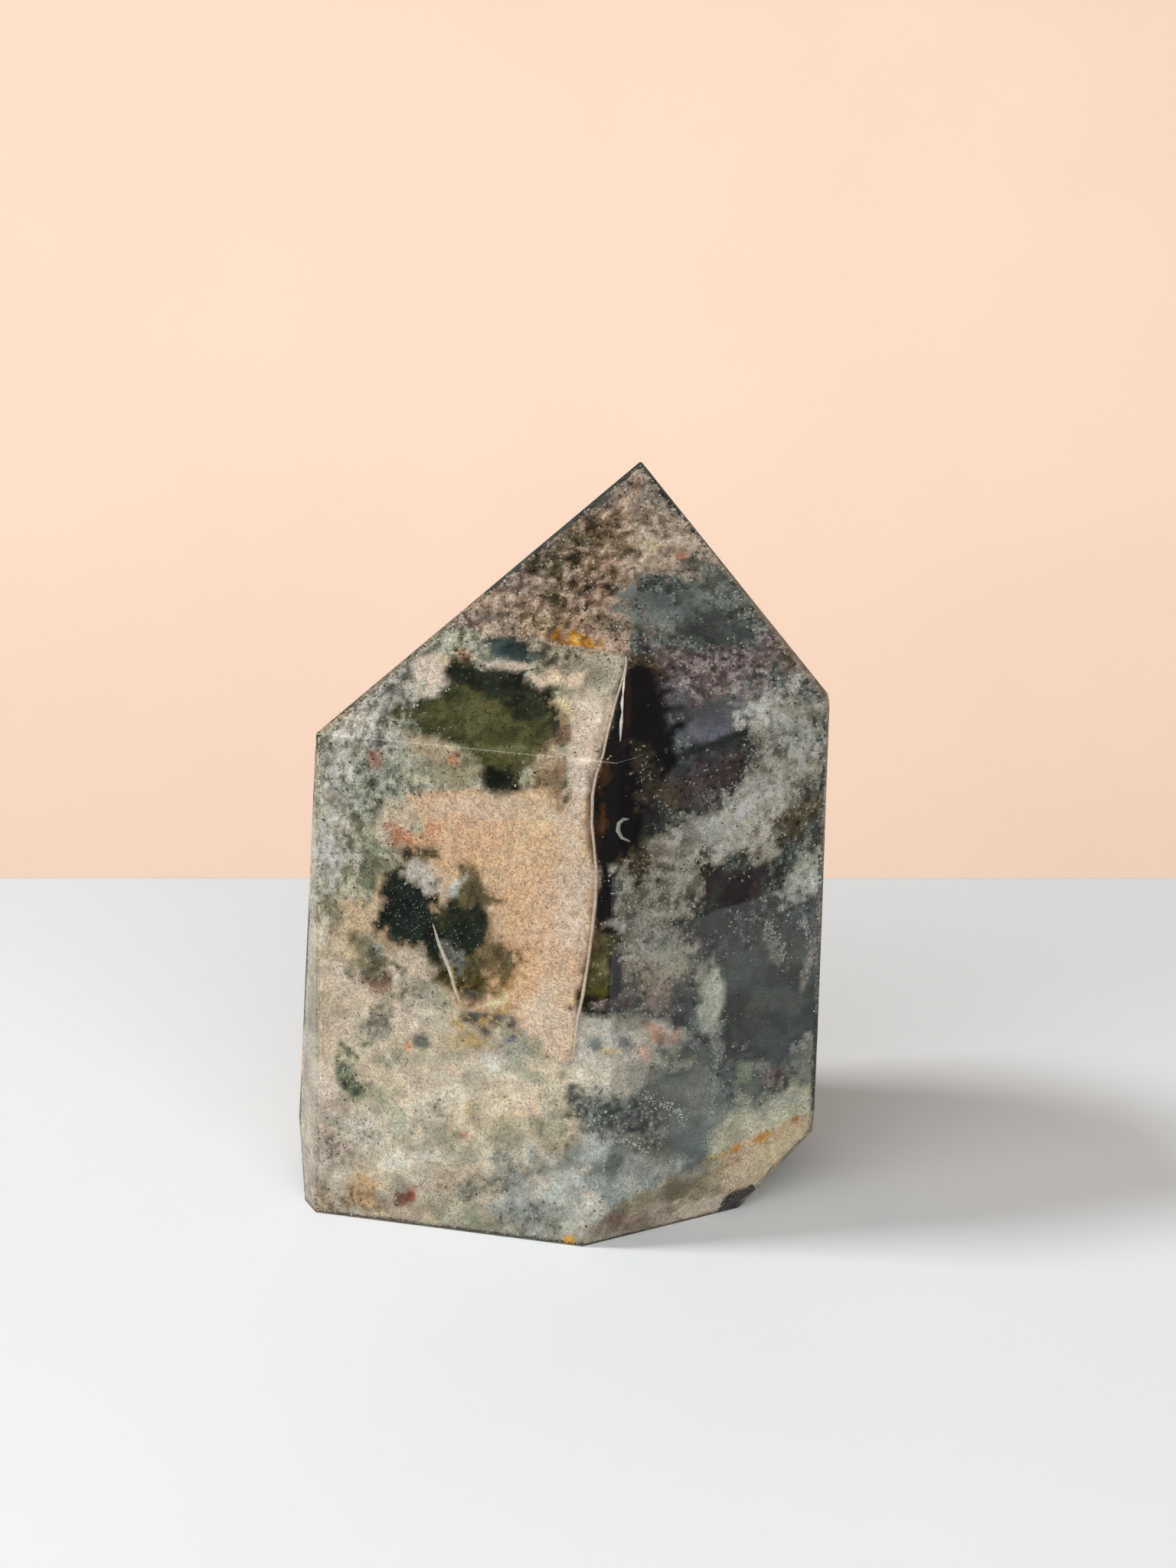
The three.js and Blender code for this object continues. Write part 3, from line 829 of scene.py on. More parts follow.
FOOT_SHEETS: tuple[Sheet | Patch, ...] = (
    Sheet(Kind.SILT, Tint.ASH, ((787, 1587), (1055, 1455), (1070, 1470), (964, 1585), (760, 1640),
          (764, 1625)), 0.6, 2.5, 2, shade=0.9),
    # Partly painted shade: the foot bevel's olive-brown is darker for lying in shade under the overhang.
    silt(Tint.KHAKI, (880, 1562), (60, 14), 0.6, -27, ragged=0.6, shade=0.82, strength=0.8),
    silt(Tint.UMBER, (812, 1598), (30, 10), 0.7, -14, shade=1.35, strength=0.6),
    silt(Tint.ROSE_SAND, (846, 1582), (44, 7), 0.6, -22, shade=0.9, strength=0.6),
    # Painted reflection: the peach sheet stands for the pale floor mirrored in the foot bevel.
    Sheet(Kind.SAND, Tint.PEACH, ((950, 1516), (1055, 1460), (1070, 1470), (984, 1560), (940, 1566)),
          0.5, 12, 6, shade=1.16),
    silt(Tint.KHAKI, (950, 1524), (34, 12), 0.6, -26, ragged=0.5, strength=0.7),
    sand(Tint.ROSE_SAND, (915, 1576), (46, 9), 0.45, -18, ragged=0.6, shade=1.08),
    silt(Tint.PUTTY, (920, 1524), (40, 6), 0.6, -27, ragged=0.5, strength=0.6),
    rust(Tint.OCHRE, (938, 1511), (16, 2.4), 0.5, -24, soft=0.8, ragged=0.5, strength=0.7),
    rust(Tint.FLAME, (963, 1501), (6.5, 4), 0.5, -25, ragged=0.4),
    rust(Tint.FLAME, (994, 1486), (14, 4), 0.5, -30, soft=0.8, ragged=0.6, strength=0.8),
    rust(Tint.AMBER, (1040, 1461), (3, 4), 0.5, soft=0.8, ragged=0.3),
    moss(Tint.INK, (963, 1567), (24, 9), 0.5, -36, soft=0.4, ragged=0.2, shade=1.2),
)

ALL_SHEETS = TOP_SHEETS + LEFT_SHEETS + LOW_SHEETS + MOSS_PATCHES + RIGHT_SHEETS + FOOT_SHEETS


@dataclass(frozen=True)
class Trail:
    """A thin line of flecks, such as the edge of a veil, in pixels as seen from the front."""

    tint: Tint
    path: tuple[Point2, ...]
    width: float
    count: int
    depth: float = 0.45
    size: float = 0.16


TRAILS: tuple[Trail, ...] = (
    Trail(Tint.CHALK, ((606, 842), (643, 833), (663, 828), (681, 831), (708, 836), (732, 843),
          (753, 847), (780, 850), (818, 852)), 2.4, 330),
    Trail(Tint.CHALK, ((695, 877), (715, 874), (728, 870), (739, 862)), 1.4, 70),
    Trail(Tint.MIST, ((494, 945), (519, 974), (541, 1001)), 4.0, 60, 0.5, 0.12),
    # Painted highlight: the bright line where the left shoulder edge crosses the sand, as white flecks.
    Trail(Tint.SNOW, ((741, 985), (783, 986)), 1.0, 50),
    Trail(Tint.OCHRE, ((632, 1322), (650, 1302), (667, 1286)), 1.2, 46),
    Trail(Tint.OCHRE, ((594, 1334), (606, 1344), (622, 1356)), 3.0, 60),
    Trail(Tint.OCHRE, ((590, 1262), (596, 1292), (606, 1322), (618, 1334)), 1.6, 80, 0.36),
    Trail(Tint.OCHRE, ((598, 1352), (620, 1366), (640, 1356)), 3.0, 60),
    Trail(Tint.RUST, ((506, 1086), (522, 1092), (534, 1094)), 13.0, 60, 0.42, 0.2),
    Trail(Tint.RUST, ((554, 1088), (568, 1090)), 13.0, 40, 0.42, 0.2),
    Trail(Tint.BUTTER, ((632, 1323), (645, 1332), (661, 1341), (676, 1352)), 1.6, 60),
    Trail(Tint.BUTTER, ((676, 1352), (700, 1372), (730, 1388), (748, 1386)), 1.6, 70),
    Trail(Tint.SNOW, ((776, 1506), (790, 1494), (816, 1489), (835, 1497), (844, 1508)), 4.0, 170, 0.5,
          0.18),
    Trail(Tint.CHALK, ((460, 1401), (467, 1410), (480, 1415)), 1.4, 40),
    Trail(Tint.MIST, ((930, 1356), (936, 1382), (932, 1420), (928, 1470), (920, 1509)), 4.0, 220, 0.6,
          0.18),
    Trail(Tint.MIST, ((791, 1500), (789, 1540), (787, 1584)), 1.0, 60),
    Trail(Tint.PUTTY, ((829, 1050), (829, 1034), (834, 1020), (842, 1013), (854, 1018)), 4.0, 60, 1.2,
          0.18),
    Trail(Tint.STEEL, ((875, 990), (920, 976), (986, 954)), 1.6, 60, 1.6),
    Trail(Tint.SNOW, ((838, 1430), (858, 1440), (880, 1448), (897, 1462)), 9.0, 90, 0.7, 0.2),
    Trail(Tint.SNOW, ((852, 1514), (880, 1524), (908, 1512)), 8.0, 80, 0.6, 0.18),
    Trail(Tint.HOAR, ((1002, 1203), (1010, 1222), (1021, 1238), (1021, 1258)), 8.0, 130, 0.8, 0.24),
    Trail(Tint.SNOW, ((1041, 1202), (1056, 1214), (1063, 1246), (1055, 1274)), 6.0, 90, 0.7, 0.2),
    Trail(Tint.HOAR, ((1046, 1362), (1058, 1374)), 8.0, 50, 0.7, 0.22),
    Trail(Tint.BISQUE, ((870, 1592), (920, 1576), (966, 1562), (981, 1556)), 3.0, 70, 0.4, 0.14),
    Trail(Tint.OCHRE, ((918, 1519), (936, 1510), (952, 1503)), 1.2, 40),
    Trail(Tint.FLAME, ((981, 1493), (994, 1488), (1008, 1477)), 3.0, 90, 0.4, 0.2),
    Trail(Tint.FLAME, ((956, 1503), (970, 1498)), 3.0, 40, 0.4, 0.2),
    Trail(Tint.AMBER, ((1036, 1464), (1043, 1458)), 2.0, 24, 0.4, 0.18),
    Trail(Tint.HOAR, ((423, 976), (430, 1050), (424, 1146)), 5.0, 160, 0.35, 0.1),
    Trail(Tint.SNOW, ((485, 1231), (492, 1243), (503, 1250)), 4.0, 40, 0.5, 0.12),
    Trail(Tint.SNOW, ((534, 1130), (548, 1140), (560, 1150), (570, 1160)), 4.0, 60, 0.5, 0.14),
    Trail(Tint.OXBLOOD, ((596, 848), (604, 856)), 2.0, 14, 0.4, 0.2),
    Trail(Tint.PLUM, ((640, 1120), (660, 1160), (690, 1200)), 40.0, 40, 0.42, 0.13),
    Trail(Tint.HOAR, ((1066, 905), (1010, 930), (990, 960), (986, 1004), (960, 1030), (944, 1056),
          (905, 1080), (868, 1098), (858, 1116)), 12.0, 420, 0.6, 0.2),
    Trail(Tint.SNOW, ((1050, 960), (1020, 1000), (1004, 1030), (960, 1060), (900, 1090)), 34.0, 150,
          0.5, 0.13),
    Trail(Tint.HOAR, ((814, 1130), (803, 1150), (803, 1180), (809, 1210), (812, 1236)), 10.0, 150, 0.6,
          0.22),
    Trail(Tint.MIST, ((838, 1140), (862, 1168), (880, 1200), (866, 1240), (892, 1250)), 36.0, 240, 0.6,
          0.22),
    Trail(Tint.SNOW, ((1000, 1206), (1060, 1240), (1040, 1300), (960, 1370)), 50.0, 60, 0.6, 0.09),
    Trail(Tint.SNOW, ((520, 1140), (540, 1200), (600, 1210), (610, 1270)), 44.0, 110, 0.5, 0.11),
    Trail(Tint.CELADON, ((510, 1160), (530, 1200), (552, 1226)), 34.0, 90, 0.6, 0.12),
)


@dataclass(frozen=True)
class Habit:
    """How the grains of one kind lie and look.

    Sizes and lifts are in millimetres. A grain's sides are its size times the stretch, and the lift is
    how far it may float above the bed, towards the face. Ground is how much lighter the core is there.
    """

    per_mm2: float
    size: tuple[float, float]
    stretch: tuple[float, float, float]
    lift: float
    contrast: float
    clumping: float
    dark_share: float
    light_share: float
    ground: float
    slot: str


# Ground above 1 lightens the core between sand and silt grains to make up for the shade the grains cast,
# which is painted light.
HABITS: dict[Kind, Habit] = {
    Kind.SAND: Habit(32, (0.09, 0.18), (1.0, 0.85, 0.7), lift=0.05, contrast=0.17, clumping=0.06,
                     dark_share=0.012, light_share=0.09, ground=1.3, slot="sandy_inclusion"),
    Kind.SILT: Habit(22, (0.09, 0.19), (1.0, 0.9, 0.7), lift=0.08, contrast=0.26, clumping=0.34,
                     dark_share=0.03, light_share=0.10, ground=1.2, slot="sandy_inclusion"),
    Kind.GRIT: Habit(26, (0.13, 0.32), (1.0, 0.8, 0.6), lift=0.15, contrast=0.65, clumping=0.62,
                     dark_share=0.14, light_share=0.24, ground=0.84, slot="sandy_inclusion"),
    Kind.MOSS: Habit(20, (0.10, 0.22), (1.0, 0.6, 0.5), lift=0.30, contrast=0.60, clumping=0.62,
                     dark_share=0.12, light_share=0.015, ground=0.9, slot="mossy_inclusion"),
    Kind.FROST: Habit(28, (0.13, 0.30), (1.0, 0.8, 0.6), lift=0.35, contrast=0.55, clumping=0.64,
                      dark_share=0.12, light_share=0.38, ground=0.66, slot="cloudy_inclusion"),
    Kind.CLEAR: Habit(3, (0.05, 0.10), (1.0, 0.8, 0.6), lift=1.2, contrast=0.50, clumping=0.26,
                      dark_share=0.15, light_share=0.02, ground=1.0, slot="cloudy_inclusion"),
    Kind.RUST: Habit(32, (0.10, 0.22), (1.0, 0.85, 0.7), lift=0.12, contrast=0.35, clumping=0.35,
                     dark_share=0.08, light_share=0.04, ground=1.0, slot="rusty_inclusion"),
}


@dataclass(frozen=True)
class Drift:
    """One inclusion that lies by chance wherever its own cloudy field is above low, fully above high."""

    field: str
    low: float
    high: float
    kind: Kind
    tint: Tint
    depth: float
    strength: float = 1.0


FIELD_CELLS: dict[str, float] = {
    "moss": 9.0, "frost": 8.0, "sand": 13.0, "grit": 7.0, "rust": 2.2, "clear": 11.0,
}

DRIFTS: tuple[Drift, ...] = (
    Drift("sand", 0.50, 0.58, Kind.SAND, Tint.PEACH, 0.6),
    Drift("grit", 0.52, 0.60, Kind.GRIT, Tint.SAGE, 0.8),
    Drift("height", 30, 46, Kind.GRIT, Tint.PINK_GRIT, 0.8, 0.9),
    Drift("clear", 0.57, 0.62, Kind.CLEAR, Tint.SLATE, 3.0),
    Drift("frost", 0.58, 0.66, Kind.FROST, Tint.PUTTY, 1.0),
    Drift("moss", 0.57, 0.63, Kind.MOSS, Tint.OLIVE, 1.5),
    Drift("moss", 0.64, 0.70, Kind.MOSS, Tint.PINE, 2.0),
    Drift("rust", 0.76, 0.84, Kind.RUST, Tint.RUST, 0.6, 0.8),
)


@dataclass
class Looks:
    """What lies at each of many places under the polished faces.

    Kinds are the shares of each kind, sink is the direction in which a place lies deeper, fronts says
    which places the front view shows, and clump is how dense the inclusion is there.
    """

    tint: Array
    kinds: Array
    depth: Array
    sink: Array
    fronts: Array
    clump: Array

    def pick(self, chosen: Array) -> "Looks":
        """The same for only some of the places."""
        return Looks(**{name: values[chosen] for name, values in vars(self).items()})

    def clumping(self) -> Array:
        """How strongly the inclusion at each place gathers into clumps."""
        return self.kinds @ np.array([HABITS[kind].clumping for kind in Kind])

    def ground(self) -> Array:
        """Colour of the bare ground between the grains."""
        return self.tint * (self.kinds @ np.array([HABITS[kind].ground for kind in Kind]))[:, None]


class Painting:
    """Says what lies under each place of the polish: in front as in the sheets, behind by chance."""

    INSET = 0.22
    FOOT_INSET = 0.06
    SHALLOWEST = 0.17
    SEED = 11
    SEED_STEP = 31

    def __init__(self, stone: Stone, view: FrontView) -> None:
        """Keeps the stone and the view that it is seen in."""
        self.stone = stone
        self.view = view

    def sights(self, points: Array) -> tuple[Array, Array, Array]:
        """How each place under the polish is seen from the front.

        Args:
            points: places inside the stone, in millimetres.

        Returns:
            The pixels where they are seen, which of them face the front, and the directions in which
            they lie deeper.
        """
        rounds = 3
        least_head_on = 0.2
        still_faces = 0.06
        nearest, depth = self.stone.under(points)
        normals = self.stone.normals[nearest]
        sight = self.view.sight(self.view.pixels(points))
        for _ in range(rounds):
            inner = self.view.bent(sight, normals)
            head_on = np.clip(-np.sum(inner * normals, axis=1, keepdims=True), least_head_on, None)
            entry = points - inner * depth[:, None] / head_on
            sight = self.view.sight(self.view.pixels(entry))
        facing = -np.sum(sight * normals, axis=1) > still_faces
        inward = np.where(facing[:, None], inner / head_on, -normals)
        return self.view.pixels(entry), facing, inward

    def place(self, pixels: Array, depth: Array) -> Array:
        """Finds the places that are seen at pixels and lie deep under the polish.

        Args:
            pixels: where the places are seen, in rows of two.
            depth: how deep they lie under the face, in millimetres.

        Returns:
            The places in millimetres, in rows of three.
        """
        sight = self.view.sight(pixels)
        start = np.array(self.view.place)
        head_on = sight @ self.stone.normals.T
        meets = head_on < -1e-6
        reach = self.stone.depths(start) / np.where(meets, head_on, -1)
        nearest = np.argmax(np.where(meets, reach, -np.inf), axis=1)
        entry = start + sight * reach[np.arange(len(pixels)), nearest][:, None]
        normals = self.stone.normals[nearest]
        inner = self.view.bent(sight, normals)
        return entry - inner * (depth / np.sum(inner * normals, axis=1))[:, None]

    def wild(self, points: Array, rest: Looks) -> None:
        """Fills in what lies where the front view shows nothing, in bands and clouds."""
        shift_seeds = (910, 920, 930)
        shift_cell, shift_mm, height_mm = 6.0, 7.0, 6.0
        shifts = [cloudy_noise(points, shift_cell, seed) - 0.5 for seed in shift_seeds]
        points = points + shift_mm * np.stack(shifts, axis=1)
        fields = {name: cloudy_noise(points, cell, self.SEED + i * self.SEED_STEP)
                  for i, (name, cell) in enumerate(FIELD_CELLS.items())}
        fields["height"] = points[:, 2] + height_mm * (fields["grit"] - 0.5)
        for drift in DRIFTS:
            cover = drift.strength * smooth_step(drift.low, drift.high, fields[drift.field])
            self.lay(rest, slice(None), cover, drift)

    @staticmethod
    def lay(looks: Looks, where: Array | slice, cover: Array, layer: Sheet | Patch | Drift,
            shade: float = 1.0) -> None:
        """Lays one inclusion over what is there.

        Args:
            looks: what is there, which is changed.
            where: which of the places the cover is for.
            cover: the new inclusion's share at each of them.
            layer: the new inclusion.
            shade: how much lighter than its tint it is, as the eye sees it.
        """
        display_gamma = 2.2
        share = cover[:, None]
        new_tint = seen_colour(layer.tint) * shade ** display_gamma
        looks.tint[where] += share * (new_tint - looks.tint[where])
        looks.kinds[where] *= 1 - share
        looks.kinds[where, layer.kind.value] += cover
        looks.depth[where] += cover * (layer.depth - looks.depth[where])

    def look(self, points: Array, jitter: Array | float = 0.0) -> Looks:
        """Works out what lies under each place.

        Args:
            points: places at the inset under the polish, in millimetres.
            jitter: shifts of where each is seen, in pixels, so that neighbouring kinds mingle.

        Returns:
            The inclusions there, with the directions in which they lie deeper.
        """
        usual_depth, usual_clump = 0.7, 0.5
        least_room, room_share = 0.4, 0.9
        count = len(points)
        seen, facing, inward = self.sights(points)
        seen = seen + jitter
        kinds = np.zeros((count, len(Kind)))
        kinds[:, Kind.SILT.value] = 1.0
        tint = np.tile(seen_colour(Tint.OATMEAL), (count, 1))
        looks = Looks(tint, kinds, np.full(count, usual_depth), inward, facing,
                      np.full(count, usual_clump))
        self.wild(points, looks)
        self.lay_sheets(points, seen, looks)
        self.gather(points, looks)
        room = np.maximum(least_room, room_share * self.stone.elbow_room(points))
        looks.depth = np.minimum(looks.depth, room)
        return looks

    def lay_sheets(self, points: Array, seen: Array, looks: Looks) -> None:
        """Lays all sheets and patches, one over the other, where the front view shows them.

        Args:
            points: places at the inset under the polish, in millimetres.
            seen: where each of them is seen, in pixels.
            looks: what lies there, which is changed.
        """
        fray_cells = (1.5, 2.1, 2.6, 1.8, 1.2)
        fray_seed, fray_step = 100, 7
        grain_share = 0.8
        margin = 24
        frays = [2 * cloudy_noise(points, cell, fray_seed + i * fray_step, octaves=4) - 1
                 for i, cell in enumerate(fray_cells)]
        grain = 2 * lattice_noise(points, cell=0.36, seed=333) - 1
        for i, sheet in enumerate(ALL_SHEETS):
            low, high = sheet.extent()
            near = np.all((seen > low - margin) & (seen < high + margin), axis=1)
            where = np.flatnonzero(near & looks.fronts)
            fray, right, down = (frays[(i + step) % len(frays)][where] for step in (0, 1, 3))
            warp = 2 * np.stack([right, down], axis=1)
            cover = sheet.cover(seen[where], warp, 2 * fray + grain_share * grain[where])
            self.lay(looks, where, cover, sheet, sheet.shade)

    @staticmethod
    def gather(points: Array, looks: Looks) -> None:
        """Gathers each inclusion into clumps, clouds or branches, and lets its colour drift a little.

        Args:
            points: places at the inset under the polish, in millimetres.
            looks: what lies at each of them, which is changed.
        """
        drifting, least_drift, thinning, glare, kept_by_glare = 0.6, 0.4, 0.5, 0.022, 0.2
        warm_shift = np.array([0.30, 0.04, -0.30])
        branch_turn = Matrix.Rotation(math.radians(37), 3, Vector((0.4, 0.7, 0.6)))
        speckle = 0.5 * cloudy_noise(points, cell=0.6, seed=400)
        speckle += 0.5 * lattice_noise(points, cell=0.3, seed=500)
        fine = smooth_step(low=0.34, high=0.64, value=speckle)
        broad = smooth_step(low=0.32, high=0.66, value=cloudy_noise(points, cell=1.4, seed=440))
        turned = points @ np.array(branch_turn)
        wide, narrow = (1 - np.abs(2 * lattice_noise(turned, cell, seed) - 1)
                        for cell, seed in ((0.95, 640), (0.42, 660)))
        branch = smooth_step(low=0.50, high=0.88, value=0.6 * wide + 0.4 * narrow)
        fields = {
            Kind.SAND: fine, Kind.SILT: broad, Kind.GRIT: fine, Kind.MOSS: 0.5 * (fine + broad),
            Kind.FROST: branch, Kind.CLEAR: broad, Kind.RUST: fine,
        }
        looks.clump = sum(looks.kinds[:, kind.value] * values for kind, values in fields.items())
        clumping = looks.clumping()
        dense = clumping * (2 * looks.clump - 1)
        drift = cloudy_noise(points, cell=2.4, seed=700) - 0.5
        looks.tint *= (1 + dense + drifting * drift * (least_drift + clumping))[:, None]
        warmth = cloudy_noise(points, cell=3.2, seed=800) - 0.5
        looks.tint *= 1 + warmth[:, None] * warm_shift
        floor_glare = glare * smooth_step(low=21, high=17, value=points[:, 2])[:, None]
        looks.tint = np.maximum(looks.tint - floor_glare, kept_by_glare * looks.tint)
        looks.depth -= thinning * dense

    def sunk(self, points: Array, looks: Looks, lift: Array | float = 0.0) -> Array:
        """Moves places from the inset down to the depth where their inclusion lies.

        Args:
            points: places at the inset, in millimetres.
            looks: what lies there.
            lift: how much nearer to the face than the bed they are, in millimetres.

        Returns:
            The moved places.
        """
        deeper = np.maximum(looks.depth - lift, self.SHALLOWEST) - self.INSET
        moved = points + looks.sink * deeper[:, None]
        moved[:, 2] = np.maximum(moved[:, 2], self.FOOT_INSET)
        return moved


def set_tints(mesh: bpy.types.Mesh, tints: Array) -> None:
    """Writes a colour for each corner point of a mesh, or one for all, as its tint attribute."""
    attribute = mesh.attributes.new("tint", "FLOAT_COLOR", "POINT")
    rgba = np.ones((len(mesh.vertices), 4), np.float32)
    rgba[:, :3] = tints
    attribute.data.foreach_set("color", rgba.ravel())


class Nodes:
    """Small helper that adds and links a material's nodes."""

    def __init__(self, name: str) -> None:
        """Starts a material with only its output."""
        self.material = bpy.data.materials.new(name)
        self.material.use_nodes = True
        self.tree = self.material.node_tree
        self.tree.nodes.clear()
        self.output = self.add("ShaderNodeOutputMaterial")

    def add(self, kind: str, settings: dict[str, object] | None = None,
            **inputs: object) -> bpy.types.Node:
        """Adds a node.

        Args:
            kind: Blender's name for the node type.
            settings: the node's own options.
            **inputs: values or other nodes' sockets, with underscores for spaces, or with an underscore
                and the socket's number.

        Returns:
            The new node.
        """
        node = self.tree.nodes.new(kind)
        for key, value in (settings or {}).items():
            setattr(node, key, value)
        for key, value in inputs.items():
            socket = node.inputs[int(key[1:])] if key[0] == "_" else node.inputs[key.replace("_", " ")]
            if isinstance(value, bpy.types.NodeSocket):
                self.tree.links.new(value, socket)
            else:
                socket.default_value = value
        return node

    def finish(self, surface: bpy.types.NodeSocket,
               volume: bpy.types.NodeSocket | None = None) -> bpy.types.Material:
        """Links the shaders to the output and hands the material over."""
        self.tree.links.new(surface, self.output.inputs["Surface"])
        if volume is not None:
            self.tree.links.new(volume, self.output.inputs["Volume"])
        return self.material


@dataclass(frozen=True)
class QuartzFinish:
    """Clear polished quartz with a breath of grey-green in its depth."""

    absorbed: tuple[float, float, float, float] = (0.86, 0.87, 0.83, 1.0)
    density: float = 10.0
    roughness: float = 0.015
    ripple: float = 0.012
    ripple_scale: float = 260.0
    ripple_height: float = 0.0004

    def material(self) -> bpy.types.Material:
        """Builds the glass with a very faint ripple left by polishing."""
        nodes = Nodes("clear_quartz")
        place = nodes.add("ShaderNodeTexCoord")
        ripple = nodes.add("ShaderNodeTexNoise", Vector=place.outputs["Object"],
                           Scale=self.ripple_scale, Detail=3.0)
        bump = nodes.add("ShaderNodeBump", Strength=self.ripple, Distance=self.ripple_height,
                         Height=ripple.outputs["Fac"])
        glass = nodes.add(
            "ShaderNodeBsdfPrincipled", Base_Color=WHITE, Roughness=self.roughness,
            IOR=QUARTZ_INDEX, Transmission_Weight=1.0, Normal=bump.outputs["Normal"])
        inside = nodes.add("ShaderNodeVolumeAbsorption", Color=self.absorbed, Density=self.density)
        return nodes.finish(glass.outputs["BSDF"], inside.outputs["Volume"])


@dataclass(frozen=True)
class AirFinish:
    """A bubble of air inside the quartz."""

    roughness: float = 0.02

    def material(self) -> bpy.types.Material:
        """Builds a clear material whose index is air's against the quartz."""
        nodes = Nodes("air_bubble")
        air = nodes.add(
            "ShaderNodeBsdfPrincipled", Base_Color=WHITE, Roughness=self.roughness,
            IOR=1 / QUARTZ_INDEX, Transmission_Weight=1.0)
        return nodes.finish(air.outputs["BSDF"])


@dataclass(frozen=True)
class GrainFinish:
    """Matt mineral whose colour is its tint, broken up by fine cells."""

    name: str
    cells: float = 7600.0
    cell_depth: float = 0.24
    roughness: float = 0.7
    gloss: float = 0.06
    relief: float = 0.25
    relief_height: float = 0.0001
    mottles: float = 1400.0
    mottle_depth: float = 0.12

    def material(self) -> bpy.types.Material:
        """Builds the mineral: tint, brightness by cell, soft mottling and relief."""
        nodes = Nodes(self.name)
        tint = nodes.add("ShaderNodeAttribute", {"attribute_name": "tint"})
        place = nodes.add("ShaderNodeTexCoord")
        cell = nodes.add("ShaderNodeTexVoronoi", {"feature": "F1"}, Vector=place.outputs["Object"],
                         Scale=self.cells)
        grey = nodes.add("ShaderNodeSeparateColor", Color=cell.outputs["Color"])
        level = nodes.add("ShaderNodeMapRange", Value=grey.outputs["Red"],
                          To_Min=1 - self.cell_depth, To_Max=1 + self.cell_depth)
        mottle = nodes.add("ShaderNodeTexNoise", Vector=place.outputs["Object"], Scale=self.mottles,
                           Detail=2.0)
        soft = nodes.add("ShaderNodeMapRange", Value=mottle.outputs["Fac"], From_Min=0.3, From_Max=0.7,
                         To_Min=1 - self.mottle_depth, To_Max=1 + self.mottle_depth)
        both = nodes.add("ShaderNodeMath", {"operation": "MULTIPLY"},
                         _0=level.outputs["Result"], _1=soft.outputs["Result"])
        colour = nodes.add("ShaderNodeVectorMath", {"operation": "SCALE"},
                           _0=tint.outputs["Color"], Scale=both.outputs["Value"])
        bump = nodes.add("ShaderNodeBump", Strength=self.relief, Distance=self.relief_height,
                         Height=cell.outputs["Distance"])
        stone = nodes.add(
            "ShaderNodeBsdfPrincipled", Base_Color=colour.outputs["Vector"], Roughness=self.roughness,
            Specular_IOR_Level=self.gloss, Normal=bump.outputs["Normal"])
        return nodes.finish(stone.outputs["BSDF"])


def settle(piece: bpy.types.Object, finish: bpy.types.Material, slot: str) -> None:
    """Dresses a piece, lets it ride with the stone and reports it.

    Args:
        piece: the finished mesh object.
        finish: its material.
        slot: the material slot that it belongs to; not used.
    """
    piece.data.materials.clear()
    piece.data.materials.append(finish)
    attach(piece, BODY)
    LOG.info("%s: %d faces", piece.name, len(piece.data.polygons))


@dataclass
class GardenCore:
    """The uneven mass of sand, silt and moss close under the polished faces."""

    stone: Stone
    painting: Painting
    voxel: float = 0.28
    relief: float = 0.20

    def build(self) -> None:
        """Grinds the inner block, meshes it finely and sinks each place to its depth."""
        core = self.stone.inset_solid("garden_core", self.painting.INSET, self.painting.FOOT_INSET)
        remesh = core.modifiers.new("fine_mesh", "REMESH")
        remesh.mode = "VOXEL"
        remesh.voxel_size = self.voxel * MM
        remesh.use_smooth_shade = True
        bpy.ops.object.modifier_apply(modifier=remesh.name)
        places = np.zeros(len(core.data.vertices) * 3, np.float32)
        core.data.vertices.foreach_get("co", places)
        places = places.reshape(-1, 3).astype(float) / MM
        looks = self.painting.look(places)
        grainy = cloudy_noise(places, cell=0.5, seed=900) + cloudy_noise(places, cell=1.6, seed=950) - 1
        sunk = self.painting.sunk(places, looks, self.relief * grainy)
        core.data.vertices.foreach_set("co", (sunk * MM).astype(np.float32).ravel())
        core.data.update()
        set_tints(core.data, buried_colour(looks.ground()))
        settle(core, GrainFinish("garden_ground").material(), "sandy_inclusion")


